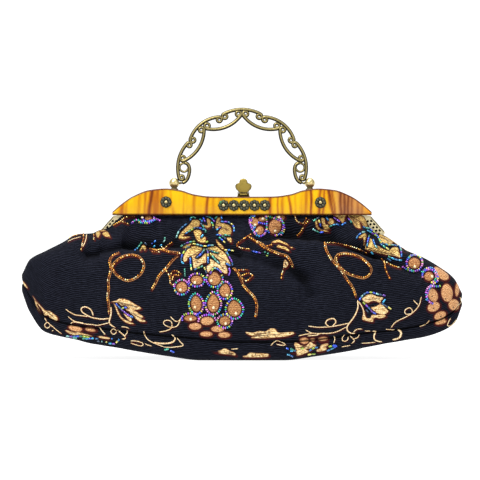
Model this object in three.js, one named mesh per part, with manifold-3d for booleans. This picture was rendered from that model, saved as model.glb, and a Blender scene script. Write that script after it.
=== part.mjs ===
// A beaded tapestry evening bag: a soft boat-shaped cloth body under an amber resin frame,
// with pierced metal frame arms, a scrolled bail handle on two ball studs, and a lift-tab clasp.
// Millimetres, +Z up. X runs along the frame, the front of the bag faces -Y.
// The origin is the middle of the flat patch that the base rests on.
import * as THREE from "three";
import { mergeVertices } from "three/addons/utils/BufferGeometryUtils.js";
import Module from "manifold-3d";

const wasm = await Module();
wasm.setup();

// Driving dimensions

const CLEAR = 0.3; // gap kept between two pieces that touch on the real bag
const CLOTH = 1.5; // thickness of the lined tapestry wall

const BAG_HALF_LENGTH = 185;
const BAG_HALF_DEPTH = 50;
const PLAN_POWER = 2.2; // roundness of the boat shape seen from above
const END_HALF_WIDTH = 0.35; // half the slit left where the two panels are sewn at each end
const BASE_FLAT = { share: 0.62, wide: 0.76 }; // share of the base's steps and width that lie level

const FRAME_HALF_LENGTH = 108.5;
const FRAME_BOTTOM = 120;
const FRAME_MIDDLE_TOP = 135.5;
const FRAME_SPLIT = 0.3; // half the gap between the closed frame halves
const FRAME_FACE = 9; // how far the front face of the frame stands from the middle
const FRAME_BEVEL = 1.3;
const GROOVE_TOP = 122.8; // the cloth and the arms sit in a groove under each half
const GROOVE_OUTER = 6.5;
const GROOVE_INNER = 2.95;
const GROOVE_HALF_LENGTH = 105;

const ARM_OUTER = 6.2; // outer face of a pierced arm, from the middle
const ARM_THICK = 1.15;
const EDGE_HALF_GAP = 4.75; // outer face of the cloth's top edge, from the middle

const HARDWARE_Y = 4.7; // middle of the back frame half: studs, handle and clasp stand here
const STUD_X = 57;
const PIVOT_Z = 146.9;
const BALL_RADIUS = 4.3;
const PIN_RADIUS = 1.0;
const PIN_BORE = 1.35;
const WIRE_RADIUS = 1.15;

const ROSETTE_RADIUS = 4.5;
const ROSETTE_THICK = 1.3;
const RIVET_RADIUS = 1.4;

// How many points the cloth grid has along the bag, and down each panel
const STATIONS = 35;
const STATION_CROWDING = 0.72; // how strongly the stations crowd towards the ends, 0 to 1
const FRONT_STEPS = 16;
const BASE_STEPS = 6;
const BACK_STEPS = 9;

// Tables

// The cloth body at stations along the bag.
// x: station. top: height of the panels' upper edge. lead: how far that edge hangs straight down
// behind the frame or arm. edge: its distance from the middle. seam: height of the base seam.
// keel: height of the underside.
const BODY = [
  { x: -185, top: 70, lead: 0.5, edge: 0.35, seam: 64, keel: 57 },
  { x: -178, top: 83, lead: 0.5, edge: 0.35, seam: 52, keel: 40 },
  { x: -165, top: 90, lead: 0.5, edge: 0.35, seam: 36, keel: 23 },
  { x: -151, top: 97, lead: 0.5, edge: 0.35, seam: 31, keel: 19 },
  { x: -138, top: 104, lead: 0.5, edge: 0.35, seam: 28.5, keel: 16.5 },
  { x: -126, top: 104.5, lead: 0.8, edge: 0.35, seam: 27, keel: 13.5 },
  { x: -119, top: 101.8, lead: 8, edge: 4.75, seam: 26.3, keel: 12.5 },
  { x: -106, top: 117.2, lead: 9, edge: 4.75, seam: 25, keel: 10.5 },
  { x: -103, top: 122.2, lead: 9, edge: 4.75, seam: 24.5, keel: 10 },
  { x: -92, top: 122.2, lead: 3.4, edge: 4.75, seam: 23, keel: 8 },
  { x: -62, top: 122.2, lead: 3.4, edge: 4.75, seam: 20.3, keel: 3.4 },
  { x: -34, top: 122.2, lead: 3.4, edge: 4.75, seam: 18, keel: 0 },
  { x: 0, top: 122.2, lead: 3.4, edge: 4.75, seam: 15.5, keel: 0 },
  { x: 34, top: 122.2, lead: 3.4, edge: 4.75, seam: 15.6, keel: 0 },
  { x: 62, top: 122.2, lead: 3.4, edge: 4.75, seam: 17.6, keel: 3.4 },
  { x: 92, top: 122.2, lead: 3.4, edge: 4.75, seam: 21, keel: 8 },
  { x: 103, top: 122.2, lead: 9, edge: 4.75, seam: 22.5, keel: 10.5 },
  { x: 106, top: 117.2, lead: 9, edge: 4.75, seam: 22.8, keel: 11 },
  { x: 119, top: 101.8, lead: 8, edge: 4.75, seam: 24, keel: 13.5 },
  { x: 126, top: 98.5, lead: 0.8, edge: 0.35, seam: 24.8, keel: 14.5 },
  { x: 138, top: 90.5, lead: 0.5, edge: 0.35, seam: 26.5, keel: 16.5 },
  { x: 151, top: 85, lead: 0.5, edge: 0.35, seam: 29, keel: 18.5 },
  { x: 165, top: 77, lead: 0.5, edge: 0.35, seam: 33, keel: 22.5 },
  { x: 178, top: 67, lead: 0.5, edge: 0.35, seam: 40, keel: 30 },
  { x: 185, top: 54, lead: 0.5, edge: 0.35, seam: 49, keel: 45 },
];

// The way a side panel falls from its upper edge (share 0) to the base seam (share 1), under the
// frame and at the free ends. out: share of the depth. up: share of the height that is left.
const FALL_UNDER_FRAME = [
  { share: 0, out: 0, up: 1 },
  { share: 0.14, out: 0.23, up: 0.89 },
  { share: 0.3, out: 0.5, up: 0.81 },
  { share: 0.45, out: 0.76, up: 0.7 },
  { share: 0.6, out: 0.92, up: 0.54 },
  { share: 0.77, out: 1, up: 0.31 },
  { share: 1, out: 0.91, up: 0 },
];
const FALL_AT_ENDS = [
  { share: 0, out: 0, up: 1 },
  { share: 0.14, out: 0.42, up: 0.97 },
  { share: 0.3, out: 0.72, up: 0.88 },
  { share: 0.45, out: 0.89, up: 0.72 },
  { share: 0.6, out: 0.97, up: 0.55 },
  { share: 0.77, out: 1, up: 0.32 },
  { share: 1, out: 0.91, up: 0 },
];
const FALL_BLEND = { from: 85, to: 140 }; // |x| where the first gives way to the second

// Folds of the front, each along a straight line seen from the front.
// raise: height of the fold, below 0 for a valley. wide: half its width.
const FRONT_FOLDS = [
  { x0: -128, z0: 89, x1: -92, z1: 100, raise: -5, wide: 8 }, // left shoulder valley
  { x0: -92, z0: 100, x1: -56, z1: 101, raise: -7, wide: 7 },
  { x0: -56, z0: 101, x1: -4, z1: 94, raise: -7, wide: 6.5 },
  { x0: -110, z0: 84, x1: -60, z1: 89, raise: 3, wide: 8 }, // crest below it
  { x0: -60, z0: 89, x1: -12, z1: 85, raise: 4.5, wide: 8 },
  { x0: 8, z0: 98, x1: 32, z1: 107, raise: -6, wide: 6 }, // right recess under the frame
  { x0: 32, z0: 107, x1: 74, z1: 104, raise: -8, wide: 6.5 },
  { x0: 74, z0: 104, x1: 110, z1: 90, raise: -8, wide: 6 },
  { x0: 110, z0: 90, x1: 144, z1: 75, raise: -4.5, wide: 5.5 },
  { x0: 16, z0: 99, x1: 62, z1: 96, raise: 5, wide: 7 }, // right lobe's crest
  { x0: 62, z0: 96, x1: 112, z1: 80, raise: 4.5, wide: 7 },
  { x0: 112, z0: 96, x1: 146, z1: 82, raise: 2.5, wide: 5 }, // shoulder puff above the recess
  { x0: 0, z0: 91, x1: 30, z1: 82, raise: -5, wide: 7 }, // dent between the two lobes
  { x0: 30, z0: 82, x1: 52, z1: 70, raise: -5.5, wide: 8 },
  { x0: 52, z0: 70, x1: 57, z1: 56, raise: -3.5, wide: 8 },
];
const BACK_FOLDS = [
  { x0: -124, z0: 88, x1: -60, z1: 100, raise: -5, wide: 8 },
  { x0: -60, z0: 100, x1: 20, z1: 97, raise: -6, wide: 7 },
  { x0: 20, z0: 97, x1: 100, z1: 98, raise: -6, wide: 7 },
  { x0: 100, z0: 98, x1: 140, z1: 77, raise: -4, wide: 6 },
  { x0: -100, z0: 88, x1: 90, z1: 86, raise: 3.5, wide: 9 },
  { x0: -20, z0: 90, x1: -36, z1: 62, raise: -4, wide: 9 },
];
const PLEATS = { pitch: 15.5, raise: 1.3, reach: 15 }; // gathers that fade out below the frame
// Folds fade in over these distances below the lead and from the bag's ends, and this share of the
// fall above the base seam.
const FOLD_FADE = { lead: 8, end: 30, seam: 0.15 };

// The upper outline of a frame half, from the middle to its tip
const FRAME_OUTLINE = [
  { x: 0, top: FRAME_MIDDLE_TOP },
  { x: 26, top: 135.7 },
  { x: 40, top: 137.4 },
  { x: 52, top: 141 },
  { x: 64, top: 142.4 },
  { x: 77, top: 141.2 },
  { x: 91, top: 136 },
  { x: 101, top: 129.3 },
  { x: 106, top: 125 },
  { x: FRAME_HALF_LENGTH, top: FRAME_BOTTOM + 2.8 },
];

// The left half of the handle, in its plane: scrolls made of a bowed arc with a volute at each end.
// x0, z0 and x1, z1: the volutes' centres. bow: how far the arc's middle stands from the line between
// them, to the left of the way from 0 to 1. roll: radius of the volutes, inside the bow.
const SCROLLS = [
  { x0: -14.3, z0: 203.1, x1: 14.3, z1: 203.1, bow: 5.7, roll: 2.2 }, // crown
  { x0: -3.1, z0: 204.8, x1: -29.1, z1: 194.8, bow: 6.3, roll: 2.3 }, // upper inner
  { x0: -41.4, z0: 183.3, x1: -19.4, z1: 200.3, bow: 6.3, roll: 2.2 }, // upper outer
  { x0: -34.1, z0: 191.4, x1: -49.6, z1: 167.7, bow: 6.3, roll: 2.2 }, // lower inner
  { x0: -51, z0: 151.7, x1: -44.6, z1: 178.9, bow: 5.6, roll: 2 }, // lower outer
];
const SCROLL_RING = { x: -48.9, z: 160, radius: 3.6, wire: 0.9 };
const LEG = [
  { x: -48.5, z: 164.2 },
  { x: -45.4, z: 162.5 },
  { x: -44.2, z: 159 },
  { x: -44.5, z: 154.8 },
  { x: -45.7, z: 151 },
  { x: -47.8, z: 148.2 },
  { x: -50.6, z: PIVOT_Z },
];

const ROSETTE_ROW = { count: 5, pitch: 8.6, x: 1.8, z: 128.2 };
const ROSETTE_SINGLES = [
  { name: "left", x: -63.6, z: 131 },
  { name: "right", x: 65.6, z: 130.6 },
];

// Helpers

function lerp(a, b, t) {
  return a + (b - a) * t;
}

function smoothstep(t) {
  const s = Math.min(1, Math.max(0, t));
  return s * s * (3 - 2 * s);
}

// A smooth curve through a table's rows, with no overshoot between them.
function through(table, key, column, at) {
  const last = table.length - 1;
  const x = Math.min(table[last][key], Math.max(table[0][key], at));
  let i = 0;
  while (i < last - 1 && x > table[i + 1][key]) i += 1;
  const rise = (k) => (table[k + 1][column] - table[k][column]) / (table[k + 1][key] - table[k][key]);
  const slope = (k) => {
    if (k === 0) return rise(0);
    if (k === last) return rise(last - 1);
    const [a, b] = [rise(k - 1), rise(k)];
    return a * b <= 0 ? 0 : (2 * a * b) / (a + b);
  };
  const h = table[i + 1][key] - table[i][key];
  const t = (x - table[i][key]) / h;
  const [t2, t3] = [t * t, t * t * t];
  return (
    (2 * t3 - 3 * t2 + 1) * table[i][column] +
    (t3 - 2 * t2 + t) * h * slope(i) +
    (3 * t2 - 2 * t3) * table[i + 1][column] +
    (t3 - t2) * h * slope(i + 1)
  );
}

function solidOf(geometry) {
  const bare = geometry.clone();
  bare.deleteAttribute("normal");
  bare.deleteAttribute("uv");
  const merged = mergeVertices(bare, 1e-4);
  return new wasm.Manifold(
    new wasm.Mesh({
      numProp: 3,
      vertProperties: merged.attributes.position.array,
      triVerts: new Uint32Array(merged.index.array),
    }),
  );
}

function geometryOf(solid) {
  const mesh = solid.getMesh();
  const geometry = new THREE.BufferGeometry();
  geometry.setAttribute("position", new THREE.BufferAttribute(mesh.vertProperties, 3));
  geometry.setIndex(new THREE.BufferAttribute(mesh.triVerts, 1));
  return geometry;
}

function fused(geometries) {
  return geometries.map(solidOf).reduce((all, one) => all.add(one));
}

// A flat plate drawn in the XZ plane, from y = near to y = far.
function plate(shape, near, far, bevel = 0) {
  const geometry = new THREE.ExtrudeGeometry(shape, {
    depth: far - near - 2 * bevel,
    bevelEnabled: bevel > 0,
    bevelThickness: bevel,
    bevelSize: bevel,
    bevelOffset: -bevel,
    bevelSegments: 1,
  });
  return geometry.rotateX(Math.PI / 2).translate(0, far - bevel, 0);
}

function polygon(corners) {
  return new THREE.Shape(corners.map(([x, z]) => new THREE.Vector2(x, z)));
}

function box(low, high) {
  const size = high.map((v, i) => v - low[i]);
  const middle = high.map((v, i) => (v + low[i]) / 2);
  return new THREE.BoxGeometry(...size).translate(...middle);
}

function cylinderAlongX(radius, x0, x1, y, z, sides) {
  return new THREE.CylinderGeometry(radius, radius, x1 - x0, sides)
    .rotateZ(Math.PI / 2)
    .translate((x0 + x1) / 2, y, z);
}

function cylinderAlongY(radius, x, z, y0, y1, sides) {
  return new THREE.CylinderGeometry(radius, radius, y1 - y0, sides).translate(x, (y0 + y1) / 2, z);
}

function piece(name, geometry, material) {
  const mesh = new THREE.Mesh(geometry, material);
  mesh.name = name;
  return mesh;
}

// Materials

const tapestry = new THREE.MeshStandardMaterial({ color: 0x191a22, roughness: 0.85, metalness: 0 });
const amber = new THREE.MeshStandardMaterial({ color: 0xd98a1a, roughness: 0.18, metalness: 0 });
const brass = new THREE.MeshStandardMaterial({ color: 0xa89255, roughness: 0.38, metalness: 1 });
const bronze = new THREE.MeshStandardMaterial({ color: 0x4a4838, roughness: 0.5, metalness: 1 });

// Cloth body: one grid round the bag, cut into front, base and back panels at the base seams

const SEAM_FRONT = FRONT_STEPS;
const SEAM_BACK = FRONT_STEPS + BASE_STEPS;
const AROUND = FRONT_STEPS + BASE_STEPS + BACK_STEPS;

function stationX(i) {
  const turn = (i / (STATIONS - 1) - 0.5) * Math.PI;
  const even = i / (STATIONS - 1) * 2 - 1;
  return BAG_HALF_LENGTH * lerp(even, Math.sin(turn), STATION_CROWDING);
}

function halfDepth(x) {
  const along = Math.min(1, Math.abs(x) / BAG_HALF_LENGTH);
  return Math.max(END_HALF_WIDTH, BAG_HALF_DEPTH * (1 - along ** PLAN_POWER) ** (1 / PLAN_POWER));
}

// The upper edge of a side panel; side is -1 for the front and 1 for the back.
function edgePoint(x, side) {
  const edge = Math.min(through(BODY, "x", "edge", x), halfDepth(x));
  return new THREE.Vector3(x, side * edge, through(BODY, "x", "top", x));
}

// A point of a side panel before folding, fall = 0 below the hanging lead and 1 at the base seam.
function panelPoint(x, fall, side) {
  const hung = edgePoint(x, 1);
  const start = hung.z - through(BODY, "x", "lead", x);
  const seam = through(BODY, "x", "seam", x);
  const toEnds = smoothstep((Math.abs(x) - FALL_BLEND.from) / (FALL_BLEND.to - FALL_BLEND.from));
  const way = (column) =>
    lerp(
      through(FALL_UNDER_FRAME, "share", column, fall),
      through(FALL_AT_ENDS, "share", column, fall),
      toEnds,
    );
  const y = lerp(hung.y, halfDepth(x), way("out"));
  return new THREE.Vector3(x, side * y, lerp(seam, start, way("up")));
}

// A point of the base, across = -1 at the front seam and 1 at the back seam.
function basePoint(x, across) {
  const seam = through(BODY, "x", "seam", x);
  const keel = through(BODY, "x", "keel", x);
  const seamY = panelPoint(x, 1, 1).y;
  const rim = Math.max(0, (Math.abs(across) - BASE_FLAT.share) / (1 - BASE_FLAT.share));
  const roll = (rim * Math.PI) / 2;
  const flatY = BASE_FLAT.wide * seamY;
  const level = Math.min(1, Math.abs(across) / BASE_FLAT.share);
  const y = flatY * level + (seamY - flatY) * Math.sin(roll);
  return new THREE.Vector3(x, Math.sign(across) * y, keel + (seam - keel) * (1 - Math.cos(roll)));
}

// How far down its panel a grid column lies: below 0 on the hanging lead, 1 at the base seam.
function fallOf(j) {
  return j <= SEAM_FRONT ? (j - 1) / (FRONT_STEPS - 1) : (AROUND - j - 1) / (BACK_STEPS - 1);
}

function unfolded(x, j) {
  if (j > SEAM_FRONT && j < SEAM_BACK) return basePoint(x, ((j - SEAM_FRONT) / BASE_STEPS) * 2 - 1);
  const side = j <= SEAM_FRONT ? -1 : 1;
  const fall = fallOf(j);
  return fall < 0 ? edgePoint(x, side) : panelPoint(x, fall, side);
}

// How far the folds raise the cloth at a place seen from the front or the back.
function foldHeight(folds, x, z) {
  return folds.reduce((sum, f) => {
    const [dx, dz] = [f.x1 - f.x0, f.z1 - f.z0];
    const along = ((x - f.x0) * dx + (z - f.z0) * dz) / (dx * dx + dz * dz);
    const t = Math.min(1, Math.max(0, along));
    const off = Math.hypot(x - f.x0 - t * dx, z - f.z0 - t * dz);
    return sum + f.raise * Math.exp(-((off / f.wide) ** 2));
  }, 0);
}

function pleatHeight(x, drop) {
  return PLEATS.raise * Math.cos((2 * Math.PI * x) / PLEATS.pitch) * Math.exp(-drop / PLEATS.reach);
}

function gridNormals(grid) {
  const last = grid.length - 1;
  return grid.map((row, i) =>
    row.map((_, j) => {
      const along = new THREE.Vector3().subVectors(
        grid[Math.min(last, i + 1)][j],
        grid[Math.max(0, i - 1)][j],
      );
      const down = new THREE.Vector3().subVectors(row[Math.min(AROUND, j + 1)], row[Math.max(0, j - 1)]);
      return down.cross(along).normalize();
    }),
  );
}

function foldedGrid() {
  const plain = Array.from({ length: STATIONS }, (_, i) =>
    Array.from({ length: AROUND + 1 }, (_, j) => unfolded(stationX(i), j)),
  );
  const normals = gridNormals(plain);
  return plain.map((row, i) =>
    row.map((point, j) => {
      if (j > SEAM_FRONT && j < SEAM_BACK) return point;
      const folds = j <= SEAM_FRONT ? FRONT_FOLDS : BACK_FOLDS;
      const lead = through(BODY, "x", "lead", point.x);
      const top = through(BODY, "x", "top", point.x);
      const drop = top - lead - point.z;
      const fromLead = smoothstep(drop / FOLD_FADE.lead);
      const fromEnd = smoothstep((BAG_HALF_LENGTH - Math.abs(point.x)) / FOLD_FADE.end);
      const fromSeam = smoothstep((1 - fallOf(j)) / FOLD_FADE.seam);
      const under = Math.abs(point.x) < GROOVE_HALF_LENGTH ? pleatHeight(point.x, drop) : 0;
      const raise = foldHeight(folds, point.x, point.z) + under;
      return point.clone().addScaledVector(normals[i][j], raise * fromLead * fromEnd * fromSeam);
    }),
  );
}

// A wall through columns j0 to j1 of the grid: the outer face, the inner face and the rim.
// A side panel, side = -1 or 1, keeps to its own side of the middle; the base has side 0.
function wall(grid, normals, j0, j1, side) {
  const columns = j1 - j0 + 1;
  const ownSide = (point) => {
    if (side !== 0) point.y = side * Math.max(END_HALF_WIDTH, side * point.y);
    return point;
  };
  const rows = grid.length;
  const at = (i, j) => {
    const point = grid[i][j].clone();
    const atSeam = (j === j0 && j0 > 0) || (j === j1 && j1 < AROUND);
    if (atSeam) {
      const inward = new THREE.Vector3().subVectors(grid[i][j === j0 ? j + 1 : j - 1], point);
      point.addScaledVector(inward.normalize(), CLEAR / 2);
    }
    return point;
  };
  const positions = [];
  for (const depth of [0, CLOTH]) {
    for (let i = 0; i < rows; i += 1) {
      for (let j = j0; j <= j1; j += 1) {
        positions.push(...ownSide(at(i, j).addScaledVector(normals[i][j], -depth)).toArray());
      }
    }
  }
  const outer = (i, j) => i * columns + j;
  const inner = (i, j) => rows * columns + outer(i, j);
  const faces = [];
  const quad = (a, b, c, d) => faces.push(a, b, c, a, c, d);
  for (let i = 0; i < rows - 1; i += 1) {
    for (let j = 0; j < columns - 1; j += 1) {
      quad(outer(i, j), outer(i, j + 1), outer(i + 1, j + 1), outer(i + 1, j));
      quad(inner(i, j), inner(i + 1, j), inner(i + 1, j + 1), inner(i, j + 1));
    }
    quad(outer(i, 0), outer(i + 1, 0), inner(i + 1, 0), inner(i, 0));
    quad(outer(i + 1, columns - 1), outer(i, columns - 1), inner(i, columns - 1), inner(i + 1, columns - 1));
  }
  for (let j = 0; j < columns - 1; j += 1) {
    quad(outer(0, j + 1), outer(0, j), inner(0, j), inner(0, j + 1));
    quad(outer(rows - 1, j), outer(rows - 1, j + 1), inner(rows - 1, j + 1), inner(rows - 1, j));
  }
  const geometry = new THREE.BufferGeometry();
  geometry.setAttribute("position", new THREE.Float32BufferAttribute(positions, 3));
  geometry.setIndex(faces);
  return geometry;
}

// Along the upper edges the wall hangs square to the frame, or square to the shoulder seam.
function squareEdges(grid, normals) {
  const last = STATIONS - 1;
  normals.forEach((row, i) => {
    const hung = smoothstep((through(BODY, "x", "lead", stationX(i)) - 1) / 4);
    for (const [j, side] of [[0, -1], [1, -1], [AROUND - 1, 1], [AROUND, 1]]) {
      const seam = new THREE.Vector3().subVectors(
        grid[Math.min(last, i + 1)][j],
        grid[Math.max(0, i - 1)][j],
      );
      const square = new THREE.Vector3(-seam.z, 0, seam.x).normalize();
      if (j === 1 || j === AROUND - 1) square.add(row[j]).normalize();
      row[j] = square.lerp(new THREE.Vector3(0, side, 0), hung).normalize();
    }
  });
}

function clothBody() {
  const grid = foldedGrid();
  const normals = gridNormals(grid);
  squareEdges(grid, normals);
  const group = new THREE.Group();
  group.add(piece("front_panel", wall(grid, normals, 0, SEAM_FRONT, -1), tapestry));
  group.add(piece("base_panel", wall(grid, normals, SEAM_FRONT, SEAM_BACK, 0), tapestry));
  group.add(piece("back_panel", wall(grid, normals, SEAM_BACK, AROUND, 1), tapestry));
  return group;
}

// Resin frame halves, each with a groove underneath for the cloth and the arms

function frameShape() {
  const steps = 22;
  const right = Array.from({ length: steps + 1 }, (_, i) => {
    const x = (FRAME_HALF_LENGTH * i) / steps;
    return [x, through(FRAME_OUTLINE, "x", "top", x)];
  });
  const left = right.slice(1).map(([x, z]) => [-x, z]);
  return polygon([
    [-FRAME_HALF_LENGTH, FRAME_BOTTOM],
    [FRAME_HALF_LENGTH, FRAME_BOTTOM],
    ...right.reverse(),
    ...left,
  ]);
}

function frameHalf(name, side) {
  const [near, far] = side < 0 ? [-FRAME_FACE, -FRAME_SPLIT] : [FRAME_SPLIT, FRAME_FACE];
  const groove = box(
    [-GROOVE_HALF_LENGTH, side < 0 ? -GROOVE_OUTER : GROOVE_INNER, FRAME_BOTTOM - 5],
    [GROOVE_HALF_LENGTH, side < 0 ? -GROOVE_INNER : GROOVE_OUTER, GROOVE_TOP],
  );
  let half = solidOf(plate(frameShape(), near, far, FRAME_BEVEL)).subtract(solidOf(groove));
  if (side > 0) {
    for (const x of [-STUD_X, STUD_X]) half = half.subtract(solidOf(studSeat(x)));
  }
  return piece(name, geometryOf(half), amber);
}

// Pierced arms below the frame's tips, which carry the hinge that the two halves open on

const ARM_LINE = { x0: 107.8, z0: 119.4, x1: 119.4, z1: 106.2, width: 8 };
const ARM_HOLES = { count: 5, radius: 1.1, inset: 4.9, sides: 6 };
const ARM_SLIT = { inset: 2.2, half: 0.75 };
const ARM_TONGUE_X = 97.5; // the arm's upper end lies in the groove from here outward
const HINGE_RADIUS = 0.8;

function armFrame() {
  const length = Math.hypot(ARM_LINE.x1 - ARM_LINE.x0, ARM_LINE.z1 - ARM_LINE.z0);
  const along = [(ARM_LINE.x1 - ARM_LINE.x0) / length, (ARM_LINE.z1 - ARM_LINE.z0) / length];
  const inward = [along[1], -along[0]];
  const at = (s, w) => [
    ARM_LINE.x0 + along[0] * s + inward[0] * w,
    ARM_LINE.z0 + along[1] * s + inward[1] * w,
  ];
  return { length, at };
}

// An arm's outline, and the outlines of the holes pierced through it, mirrored to one side of the bag.
function armOutlines(side) {
  const { length, at } = armFrame();
  const mirror = (corners) => polygon(corners.map(([x, z]) => [side * x, z]));
  const end = [0.15, 0.5, 0.85].map((share) => {
    const turn = share * Math.PI;
    return at(length + 2.2 * Math.sin(turn), (ARM_LINE.width / 2) * (1 - Math.cos(turn)));
  });
  const outline = [
    [ARM_TONGUE_X, GROOVE_TOP - CLEAR],
    [GROOVE_HALF_LENGTH - CLEAR, GROOVE_TOP - CLEAR],
    [GROOVE_HALF_LENGTH - CLEAR, FRAME_BOTTOM - CLEAR],
    at(0, 0),
    at(length, 0),
    ...end,
    at(length, ARM_LINE.width),
    at(1, ARM_LINE.width),
    [ARM_TONGUE_X, FRAME_BOTTOM - 3.5],
  ];
  const pitch = length / ARM_HOLES.count;
  const rounds = Array.from({ length: ARM_HOLES.count }, (_, k) =>
    Array.from({ length: ARM_HOLES.sides }, (_, n) => {
      const turn = (n / ARM_HOLES.sides) * 2 * Math.PI;
      const s = (k + 0.5) * pitch + ARM_HOLES.radius * Math.cos(turn);
      return at(s, ARM_HOLES.inset + ARM_HOLES.radius * Math.sin(turn));
    }),
  );
  const slits = Array.from({ length: ARM_HOLES.count - 1 }, (_, k) => {
    const s = (k + 1) * pitch;
    return [
      at(s - 2 * ARM_SLIT.half, ARM_SLIT.inset - ARM_SLIT.half),
      at(s + 2 * ARM_SLIT.half, ARM_SLIT.inset - ARM_SLIT.half),
      at(s, ARM_SLIT.inset + ARM_SLIT.half),
    ];
  });
  return { outline: mirror(outline), holes: [...rounds, ...slits].map(mirror) };
}

function arm(name, side, near, far) {
  const { outline, holes } = armOutlines(side);
  const pierced = fused(holes.map((hole) => plate(hole, near - 1, far + 1)));
  return piece(name, geometryOf(solidOf(plate(outline, near, far)).subtract(pierced)), brass);
}

function frameArms() {
  const group = new THREE.Group();
  const { length, at } = armFrame();
  const [hingeX, hingeZ] = at(length - 0.8, 1.1);
  const inner = ARM_OUTER - ARM_THICK;
  const sides = { left: -1, right: 1 };
  for (const [word, side] of Object.entries(sides)) {
    group.add(arm(`arm_front_${word}`, side, -ARM_OUTER, -inner));
    group.add(arm(`arm_back_${word}`, side, inner, ARM_OUTER));
    const pin = cylinderAlongY(HINGE_RADIUS, side * hingeX, hingeZ, CLEAR - inner, inner - CLEAR, 10);
    group.add(piece(`hinge_pin_${word}`, pin, brass));
  }
  return group;
}

// Flower rosettes riveted to the front of the frame

function rosette(x, z) {
  const petals = 8;
  const perPetal = 3;
  const outline = Array.from({ length: petals * perPetal }, (_, n) => {
    const turn = (n / (petals * perPetal)) * 2 * Math.PI;
    const r = ROSETTE_RADIUS * (0.92 + 0.08 * Math.cos(petals * turn));
    return [x + r * Math.cos(turn), z + r * Math.sin(turn)];
  });
  const far = -FRAME_FACE - CLEAR;
  return plate(polygon(outline), far - ROSETTE_THICK, far);
}

function rivet(x, z) {
  const foot = -FRAME_FACE - 2 * CLEAR - ROSETTE_THICK;
  const profile = [
    [0, 0],
    [RIVET_RADIUS, 0],
    [0.75 * RIVET_RADIUS, 0.65],
    [0, 0.95],
  ].map(([r, h]) => new THREE.Vector2(r, h));
  return new THREE.LatheGeometry(profile, 10).rotateX(Math.PI).translate(x, foot, z);
}

function rosettes() {
  const group = new THREE.Group();
  const row = Array.from({ length: ROSETTE_ROW.count }, (_, n) => ({
    name: `row_${n + 1}`,
    x: ROSETTE_ROW.x + (n - (ROSETTE_ROW.count - 1) / 2) * ROSETTE_ROW.pitch,
    z: ROSETTE_ROW.z,
  }));
  group.add(piece("rosette_row", geometryOf(fused(row.map(({ x, z }) => rosette(x, z)))), bronze));
  for (const { name, x, z } of ROSETTE_SINGLES) group.add(piece(`rosette_${name}`, rosette(x, z), bronze));
  for (const { name, x, z } of [...row, ...ROSETTE_SINGLES]) {
    group.add(piece(`rivet_${name}`, rivet(x, z), brass));
  }
  return group;
}

// Ball studs on the back half, bored for the handle's pins

const STUD_SEAT_Z = 141;
const STEM_RADIUS = 2.4;

function studSeat(x) {
  const wide = STEM_RADIUS + CLEAR;
  return new THREE.CylinderGeometry(wide, wide, 6, 16)
    .rotateX(Math.PI / 2)
    .translate(x, HARDWARE_Y, STUD_SEAT_Z + 3);
}

function ballStud(name, side) {
  const x = side * STUD_X;
  const foot = STUD_SEAT_Z + CLEAR;
  const ball = new THREE.SphereGeometry(BALL_RADIUS, 12, 8)
    .rotateX(Math.PI / 2)
    .translate(x, HARDWARE_Y, PIVOT_Z);
  const stem = new THREE.CylinderGeometry(STEM_RADIUS, STEM_RADIUS, PIVOT_Z - foot, 12)
    .rotateX(Math.PI / 2)
    .translate(x, HARDWARE_Y, (PIVOT_Z + foot) / 2);
  const [inner, blind] = [x - side * (BALL_RADIUS + 2), x + side * 1.5];
  const bore = cylinderAlongX(
    PIN_BORE, Math.min(inner, blind), Math.max(inner, blind), HARDWARE_Y, PIVOT_Z, 12,
  );
  return piece(name, geometryOf(fused([ball, stem]).subtract(solidOf(bore))), brass);
}

// Scrolled bail handle, one casting with a pin at each foot

const VOLUTE = { steps: 9, turns: 0.84, shrink: 0.16 };

function wire(points, radius, step) {
  const curve = new THREE.CatmullRomCurve3(points.map(([x, z]) => new THREE.Vector3(x, HARDWARE_Y, z)));
  const sides = 5;
  const section = polygon(
    Array.from({ length: sides }, (_, n) => {
      const turn = ((n + 0.5) / sides) * 2 * Math.PI;
      return [radius * Math.cos(turn), radius * Math.sin(turn)];
    }),
  );
  const steps = Math.round(curve.getLength() / step);
  return new THREE.ExtrudeGeometry(section, { steps, bevelEnabled: false, extrudePath: curve });
}

// The points of a scroll: a volute, the arc that runs tangent to both, and the other volute.
function scrollPoints({ x0, z0, x1, z1, bow, roll }) {
  const [dx, dz] = [x1 - x0, z1 - z0];
  const chord = Math.hypot(dx, dz);
  const radius = (chord * chord / 4 + bow * bow - roll * roll) / (2 * (bow - roll));
  const left = [-dz / chord, dx / chord];
  const centre = [
    (x0 + x1) / 2 + left[0] * (bow - radius),
    (z0 + z1) / 2 + left[1] * (bow - radius),
  ];
  const outward = Math.atan2(left[1], left[0]);
  const half = Math.asin(chord / 2 / (radius - roll));
  const around = ([x, z], r, turn) => [x + r * Math.cos(turn), z + r * Math.sin(turn)];
  const arc = Array.from({ length: 9 }, (_, n) => around(centre, radius, outward + half * (1 - n / 4)));
  const volute = (hub, start, way) =>
    Array.from({ length: VOLUTE.steps }, (_, n) => {
      const share = (n + 1) / VOLUTE.steps;
      const turn = start + way * share * VOLUTE.turns * 2 * Math.PI;
      return around(hub, roll * (1 - VOLUTE.shrink * share), turn);
    });
  const first = volute([x0, z0], outward + half, 1).reverse();
  return [...first, ...arc, ...volute([x1, z1], outward - half, -1)];
}

function mirrored(points) {
  return points.map(([x, z]) => [-x, z]);
}

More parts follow.
